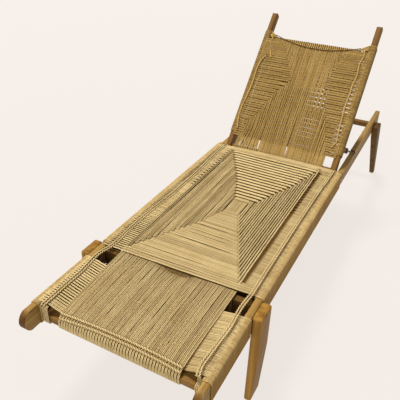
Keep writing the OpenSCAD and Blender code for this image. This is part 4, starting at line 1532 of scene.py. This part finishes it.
@dataclass
class BackWeave:
    """The backrest's woven sheet, its side strips, twined ropes and the sagging twine at its top.

    Args:
        lounge: What the pieces share.
        columns: The lengthwise pairs.
        pitch: Their distance from one to the next.
        high: The height over the backrest's plane of the cords that lie on top.
        low: The height of those below.
        rear: The height of the cords that return behind.
        rows_from: The first row, along the stiles.
        rows_to: Where the rows end.
        row_pitch: The distance from one row to the next.
        open_below: Where the lower rows start to lie in bundles.
        twine_at: The place of the sagging twine's ends.
        sag: How far its middle sags.
        rail_half: Half the depth of the two rails.
        rail_width: Their width, along the stiles.
        sag_twine: The sagging twine's twist.
        edge_twine: The twist of the ropes beside the stiles.
    """

    lounge: Lounge
    columns: int = 43
    pitch: float = 0.00886
    high: float = 0.0186
    low: float = 0.0146
    rear: float = -0.0155
    rows_from: float = 0.0800
    rows_to: float = 0.5560
    row_pitch: float = 0.0102
    open_below: float = 0.3680
    twine_at: float = 0.5690
    sag: float = 0.0360
    rail_half: float = 0.0110
    rail_width: float = 0.0300
    sag_twine: Twine = Twine(twist=0.0160, swing=0.0008, rise=0.0010, radius=0.0012, tone=0.06)
    edge_twine: Twine = Twine(twist=0.0200, swing=0.0020, rise=0.0021, radius=0.0021, bright=1.30)

    def __post_init__(self) -> None:
        """Works out the ropes' lines, the columns, the rows and which lies on top where they cross."""
        self.rope_lines = {
            Side.LEFT: ([0.105, 0.160, 0.212, 0.260, 0.320, 0.396, 0.440, 0.456, 0.468],
                        [0.2200, 0.2330, 0.2350, 0.2290, 0.2240, 0.2280, 0.2220, 0.2140, 0.2050]),
            Side.RIGHT: ([0.115, 0.140, 0.200, 0.300, 0.364, 0.396, 0.440, 0.500, 0.532, 0.562],
                         [0.2000, 0.2160, 0.2090, 0.2030, 0.2060, 0.2040, 0.2100, 0.2040, 0.2130, 0.2080])}
        self.column_at = (np.arange(self.columns) - (self.columns - 1) / 2) * self.pitch
        self.row_at = np.arange(self.rows_from, self.rows_to, self.row_pitch)
        # The figure's borders, as distances from the middle at places along the stiles.
        left = -np.interp(
            self.row_at,
            [0.00, 0.119, 0.151, 0.184, 0.225, 0.264, 0.304, 0.348, 0.375, 0.419, 0.463, 0.508, 0.544, 0.60],
            [0.24, 0.213, 0.195, 0.159, 0.142, 0.125, 0.110, 0.072, 0.060, 0.078, 0.107, 0.131, 0.157, 0.19])
        right = np.interp(
            self.row_at,
            [0.00, 0.126, 0.185, 0.262, 0.336, 0.380, 0.402, 0.453, 0.515, 0.60],
            [0.22, 0.172, 0.154, 0.130, 0.104, 0.093, 0.095, 0.105, 0.120, 0.16])
        self.column_over = (self.column_at > left[:, None]) & (self.column_at < right[:, None])

    def build(self) -> None:
        """Lays the sheet, the strips, the ropes and the loops."""
        self.lay_columns()
        self.lay_rows()
        self.lay_rear()
        self.top_rope()
        for side in Side:
            self.edge_rope(side)
        self.loops("back_lower_wrap", 0.0060)
        self.loops("back_top_wrap", 0.5320)

    def finish(self, piece: CordPiece, *replaces: str) -> None:
        """Finishes a piece of the back's cord in place of the given CAD nodes."""
        piece.finish(self.lounge.back_cord, Body.BACKREST, replaces)

    def twine_line(self, across: np.ndarray) -> np.ndarray:
        """The sagging twine's place along the stiles, at the given distances across."""
        return self.twine_at - self.sag * (1 - ((across - 0.005) / 0.190) ** 2)

    def lay_columns(self) -> None:
        """Lays the lengthwise pairs, looped over the top rail."""
        piece = CordPiece("back_lengthwise_cords")
        start = np.array([[0.006, 0.010, 0.038, 0.052, 0.066, 0.074],
                          [0.0110, 0.0136, 0.0138, 0.0154, 0.0166, 0.0170]])
        end = np.array([[0.5585, 0.5630, 0.5660, 0.5665], [0.0160, 0.0140, 0.0100, 0.0]])
        along = np.concatenate([start[0], self.row_at, end[0]])
        count = self.columns
        levels = np.where(self.column_over.T, self.high, self.low)
        height = np.concatenate([np.tile(start[1], (count, 1)), levels, np.tile(end[1], (count, 1))], axis=1)
        hidden = np.zeros((count, len(along)))
        hidden[:, 6:-4] = ~self.column_over.T
        fan = np.clip((0.13 - along) / 0.12, 0, 1) * np.clip(-self.column_at[:, None] - 0.10, 0, None) * 0.30
        middle = self.column_at[:, None] - fan + wander(piece.random, count, along, 0.0006, 0.30)
        gaps = [(0.0255, 0.020, 0.240, 0.0034), (0.0785, 0.235, 0.390, 0.0036),
                (0.0925, 0.235, 0.395, 0.0036), (0.1075, 0.235, 0.400, 0.0036),
                (0.0700, 0.080, 0.260, 0.0018), (0.0870, 0.080, 0.260, 0.0018),
                (-0.1060, 0.020, 0.190, 0.0030), (-0.1180, 0.060, 0.240, 0.0016),
                (-0.1310, 0.060, 0.240, 0.0024), (-0.1400, 0.020, 0.210, 0.0020),
                (-0.1580, 0.020, 0.180, 0.0026), (-0.1720, 0.030, 0.150, 0.0022),
                (0.1360, 0.060, 0.240, 0.0022), (0.1460, 0.030, 0.220, 0.0022),
                (0.1640, 0.030, 0.160, 0.0018), (0.1020, 0.430, 0.520, 0.0026),
                (0.0900, 0.400, 0.520, 0.0020), (0.1120, 0.440, 0.540, 0.0024),
                (0.0620, 0.340, 0.420, 0.0020), (-0.0620, 0.330, 0.420, 0.0016),
                (-0.0180, 0.090, 0.300, 0.0010)]
        middle = parted(middle, along, gaps, self.pitch)
        opened = soft_step((self.open_below - along) / 0.05) * soft_step((along - 0.070) / 0.02)
        opened = opened * (1 - hidden)
        above = soft_step((along - self.twine_line(middle)) / 0.006)
        # Painted light brightens the pairs below the first row, most in the band on the left.
        pale = 0.25 + 0.55 * (np.abs(self.column_at + 0.139) < 0.036)[:, None]
        bright = 1 + pale * soft_step((0.078 - along) / 0.006)
        # Painted shade darkens the pairs where they pass under the rows; painted light brightens them above
        # the twine.
        piece.lay_pairs(self.lounge.back, along, middle, height,
                        half=0.00214 - 0.00034 * opened - 0.00100 * above,
                        radius=0.00206 - 0.00036 * opened - 0.00085 * above,
                        drift=Drift((0.00016, 0.05), (0.0002, 0.07)),
                        shade=1.02 * bright - 0.84 * hidden + 0.40 * above)
        self.finish(piece, "back_cord_panel")

    def lay_rows(self) -> None:
        """Lays the crosswise pairs from stile to stile: close ones above, bundles of two pairs below."""
        piece = CordPiece("back_crosswise_cords")
        rows = len(self.row_at)
        outer = np.array([0.2330, 0.2290, 0.2240, 0.2190, 0.2120, 0.2060, 0.2010, 0.1950])
        beside = np.tile([0.0190, 0.0202, 0.0200, 0.0192, 0.0188, 0.0186, 0.0186, 0.0186], (rows, 1))
        across = np.concatenate([-outer, self.column_at, outer[::-1]])
        woven = np.where(self.column_over, self.low, self.high)
        height = np.concatenate([beside, woven, beside[:, ::-1]], axis=1)
        shade = np.full(height.shape, 0.98)
        # Painted shade darkens the rows under the columns, and painted shadow runs along both ropes.
        shade[:, len(outer):-len(outer)] = np.where(self.column_over, 0.40, 0.98)
        for side, (stops, places) in self.rope_lines.items():
            place = side.value * np.interp(self.row_at, stops, places, left=0.0, right=0.0)[:, None]
            shade *= 1 - 0.62 * bell(across - place, 0.0062)
        # Below, neighbouring rows are pulled together where they are woven, and lie slack beside it.
        turn = np.where(np.arange(rows) % 2 == 0, 1.0, -1.0)[:, None]
        lower = (self.row_at < self.open_below)[:, None]
        in_weave = soft_step((0.116 - across) / 0.008) * soft_step((across + 0.120) / 0.030)
        packed = soft_step((self.row_at - 0.460) / 0.03)[:, None]
        slack = 0.0004 * turn * soft_step((0.222 - np.abs(across)) / 0.012) * (1 - in_weave) * (1 - packed)
        line = self.row_at[:, None] + 0.0017 * turn * lower * in_weave + slack
        piece.lay_pairs(self.lounge.back, across, line, height,
                        half=0.00198 - 0.00026 * lower * in_weave + 0.00046 * packed,
                        radius=0.00202 - 0.00022 * lower * in_weave + 0.00044 * packed,
                        drift=Drift((0.00016, 0.14), (0.0002, 0.06)), crosswise=True, shade=shade)
        self.finish(piece, "back_side_strip_left", "back_side_strip_right")

    def lay_rear(self) -> None:
        """Lays the cords that return behind the sheet, in bundles of four towards the right."""
        piece = CordPiece("back_rear_cord_rows", sides=5)
        back = self.lounge.back
        across = np.array([-0.2195, -0.15, -0.05, 0.02, 0.05, 0.07, 0.1050, 0.1250, 0.1850, 0.2020, 0.2195])
        bundles = np.arange(self.rows_from + 0.0172, 0.520, 2 * self.row_pitch)[:, None]
        gathered = soft_step((across - 0.02) / 0.05)
        gathered *= 1 - soft_step((across - 0.105) / 0.02) * soft_step((0.202 - across) / 0.017)
        gathered = gathered * (0.45 + 0.55 * soft_step((bundles - 0.24) / 0.04))
        # The returning cords get one low tone as painted shade.
        for strand in (-1.5, -0.5, 0.5, 1.5):
            routes = back.points(across, bundles + strand * (0.0051 - 0.0016 * gathered), self.rear)
            piece.lay(routes, back.ahead, radius=0.0025 - 0.0007 * gathered, tone=0.30, out=back.behind)
        # Short pairs fill the gaps between the columns over the lower rail, but for two open places.
        across = self.column_at[:-1] + self.pitch / 2
        across = across[(np.abs(across - 0.0255) > 0.005) & (np.abs(across + 0.1060) > 0.005)]
        across = np.concatenate([across - 0.0021, across + 0.0021])[:, None]
        routes = back.points(across, np.array([0.0410, 0.0600, 0.0860]), np.array([0.0080, 0.0088, 0.0092]))
        piece.lay(routes, SIDEWAYS, radius=0.0021, out=back.facing)
        self.finish(piece, "back_rear_cords")

    def top_rope(self) -> None:
        """Lays the twined cord that sags below the top rail."""
        piece = CordPiece("back_top_twine")
        across = np.linspace(-0.192, 0.190, 300)
        line = self.twine_line(across)
        # The twine gets one very low tone, which paints the shadow along the sag.
        piece.lay_rope(self.lounge.back, across, line, 0.0222, self.sag_twine, crosswise=True)
        self.finish(piece, "back_top_rope")

    def edge_rope(self, side: Side) -> None:
        """Lays the twined rope beside a stile, and on the left the short bits of it above.

        Args:
            side: The lounge's side.
        """
        piece = CordPiece(f"back_edge_twine_{side.word}", sides=8)
        lines = [self.rope_lines[side]]
        if side is Side.LEFT:
            lines += [([0.548, 0.572], [0.2000, 0.2150]), ([0.460, 0.494], [0.1800, 0.1960])]
        for stops, places in lines:
            along = np.linspace(stops[0], stops[-1], round((stops[-1] - stops[0]) / 0.0015))
            middle = smooth_line(along, stops, places)
            piece.lay_rope(self.lounge.back, along, side.value * middle, 0.0232, self.edge_twine)
        self.finish(piece, f"back_edge_rope_{side.word}")

    def loops(self, node: str, start: float) -> None:
        """Lays the loops of the lengthwise cords round one back rail.

        Args:
            node: The CAD sleeve that the loops stand for.
            start: The rail's lower edge, along the stiles.
        """
        piece = CordPiece(f"{node}_loops")
        section = ((start, -self.rail_half), (start + self.rail_width, self.rail_half))
        # The loops get one very low tone as painted shade.
        wind_across(piece, self.lounge.back, section, self.column_at, 0.0021, 0.06)
        self.finish(piece, node)


@dataclass(frozen=True)
class Look:
    """The camera: where it stands, how it is turned in degrees, and its lens in millimetres."""

    place: Direction = (0.59296, -1.61226, 1.31995)
    yaw: float = 27.51
    pitch: float = 32.35
    roll: float = 1.39
    lens: float = 45.23
    sensor: float = 36.0


@dataclass
class Studio:
    """The pale floor, the soft lights and the camera.

    Args:
        look: The camera's place.
        floor_tone: The floor's colour where light falls on it.
        floor_glow: The colour that the floor gives by itself, which keeps it pale.
        glow: The strength of that.
        sky: The strength of the even sky.
        key: The strength of the light from above.
        key_from: The direction that it comes from.
        fill: The strength of the light from the foot end.
        fill_from: The direction that it comes from.
        softness: The key light's apparent size, in degrees; the fill light's is three times that.
        light_tone: The colour of both lights.
        sky_tone: The colour of the sky.
    """

    look: Look = Look()
    floor_tone: Colour = srgb(63, 62, 61)
    floor_glow: Colour = srgb(246, 239, 233)
    glow: float = 0.875
    sky: float = 0.36
    key: float = 3.15
    key_from: Direction = (-0.30, 0.10, 1.0)
    fill: float = 1.5
    fill_from: Direction = (-0.15, -1.0, 0.55)
    softness: float = 14.0
    light_tone: Colour = (1.0, 0.965, 0.91)
    sky_tone: Colour = srgb(250, 246, 242)

    def build(self) -> None:
        """Makes the floor, the world, the lights and the camera."""
        self.floor()
        self.lights()
        self.camera()

    def floor(self) -> None:
        """A pale plain floor."""
        bpy.ops.mesh.primitive_plane_add(size=40)
        ground = bpy.context.object
        ground.name = "studio_floor"
        shader = Shader("pale_floor")
        shader.surface.inputs["Base Color"].default_value = (*self.floor_tone, 1.0)
        shader.surface.inputs["Emission Color"].default_value = (*self.floor_glow, 1.0)
        shader.surface.inputs["Emission Strength"].default_value = self.glow
        shader.surface.inputs["Roughness"].default_value = 0.9
        ground.data.materials.append(shader.material)

    def lights(self) -> None:
        """An even sky, a soft light from above on the left, and a softer, weaker one from the foot end."""
        world = bpy.data.worlds.new("studio_sky")
        world.use_nodes = True
        sky = world.node_tree.nodes["Background"]
        sky.inputs["Color"].default_value = (*self.sky_tone, 1.0)
        sky.inputs["Strength"].default_value = self.sky
        bpy.context.scene.world = world
        self.sun("key_light", self.key, self.key_from, self.softness)
        self.sun("fill_light", self.fill, self.fill_from, 3 * self.softness)
        bpy.context.scene.view_settings.view_transform = "Standard"

    def sun(self, name: str, energy: float, source: Direction, angle: float) -> None:
        """Adds one soft distant light.

        Args:
            name: The light's name.
            energy: Its strength.
            source: The direction that it comes from.
            angle: Its apparent size, in degrees.
        """
        data = bpy.data.lights.new(name, "SUN")
        data.angle = math.radians(angle)
        data.energy = energy
        data.color = self.light_tone
        lamp = bpy.data.objects.new(name, data)
        lamp.rotation_euler = (-Vector(source)).to_track_quat("-Z", "Y").to_euler()
        bpy.context.scene.collection.objects.link(lamp)

    def camera(self) -> None:
        """The camera, turned by its yaw, pitch and roll."""
        data = bpy.data.cameras.new("camera")
        data.lens = self.look.lens
        data.sensor_width = self.look.sensor
        camera = bpy.data.objects.new("camera", data)
        camera.location = self.look.place
        turn = Matrix.Rotation(math.radians(self.look.yaw), 3, "Z")
        turn = turn @ Matrix.Rotation(math.radians(90 - self.look.pitch), 3, "X")
        turn = turn @ Matrix.Rotation(math.radians(self.look.roll), 3, "Z")
        camera.rotation_euler = turn.to_euler()
        bpy.context.scene.collection.objects.link(camera)
        bpy.context.scene.camera = camera


def main() -> None:
    """Loads the frame and makes the finishes, the cord and the studio."""
    logging.basicConfig(level=logging.INFO, format="%(message)s")
    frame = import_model()
    lounge = Lounge(frame)
    for assembly in (TimberAndMetal, RailWraps, FootPanel, EdgeTwines, SeatWeave, StileWraps, BackWeave):
        assembly(lounge).build()
    Studio().build()


if __name__ == "__main__":
    main()
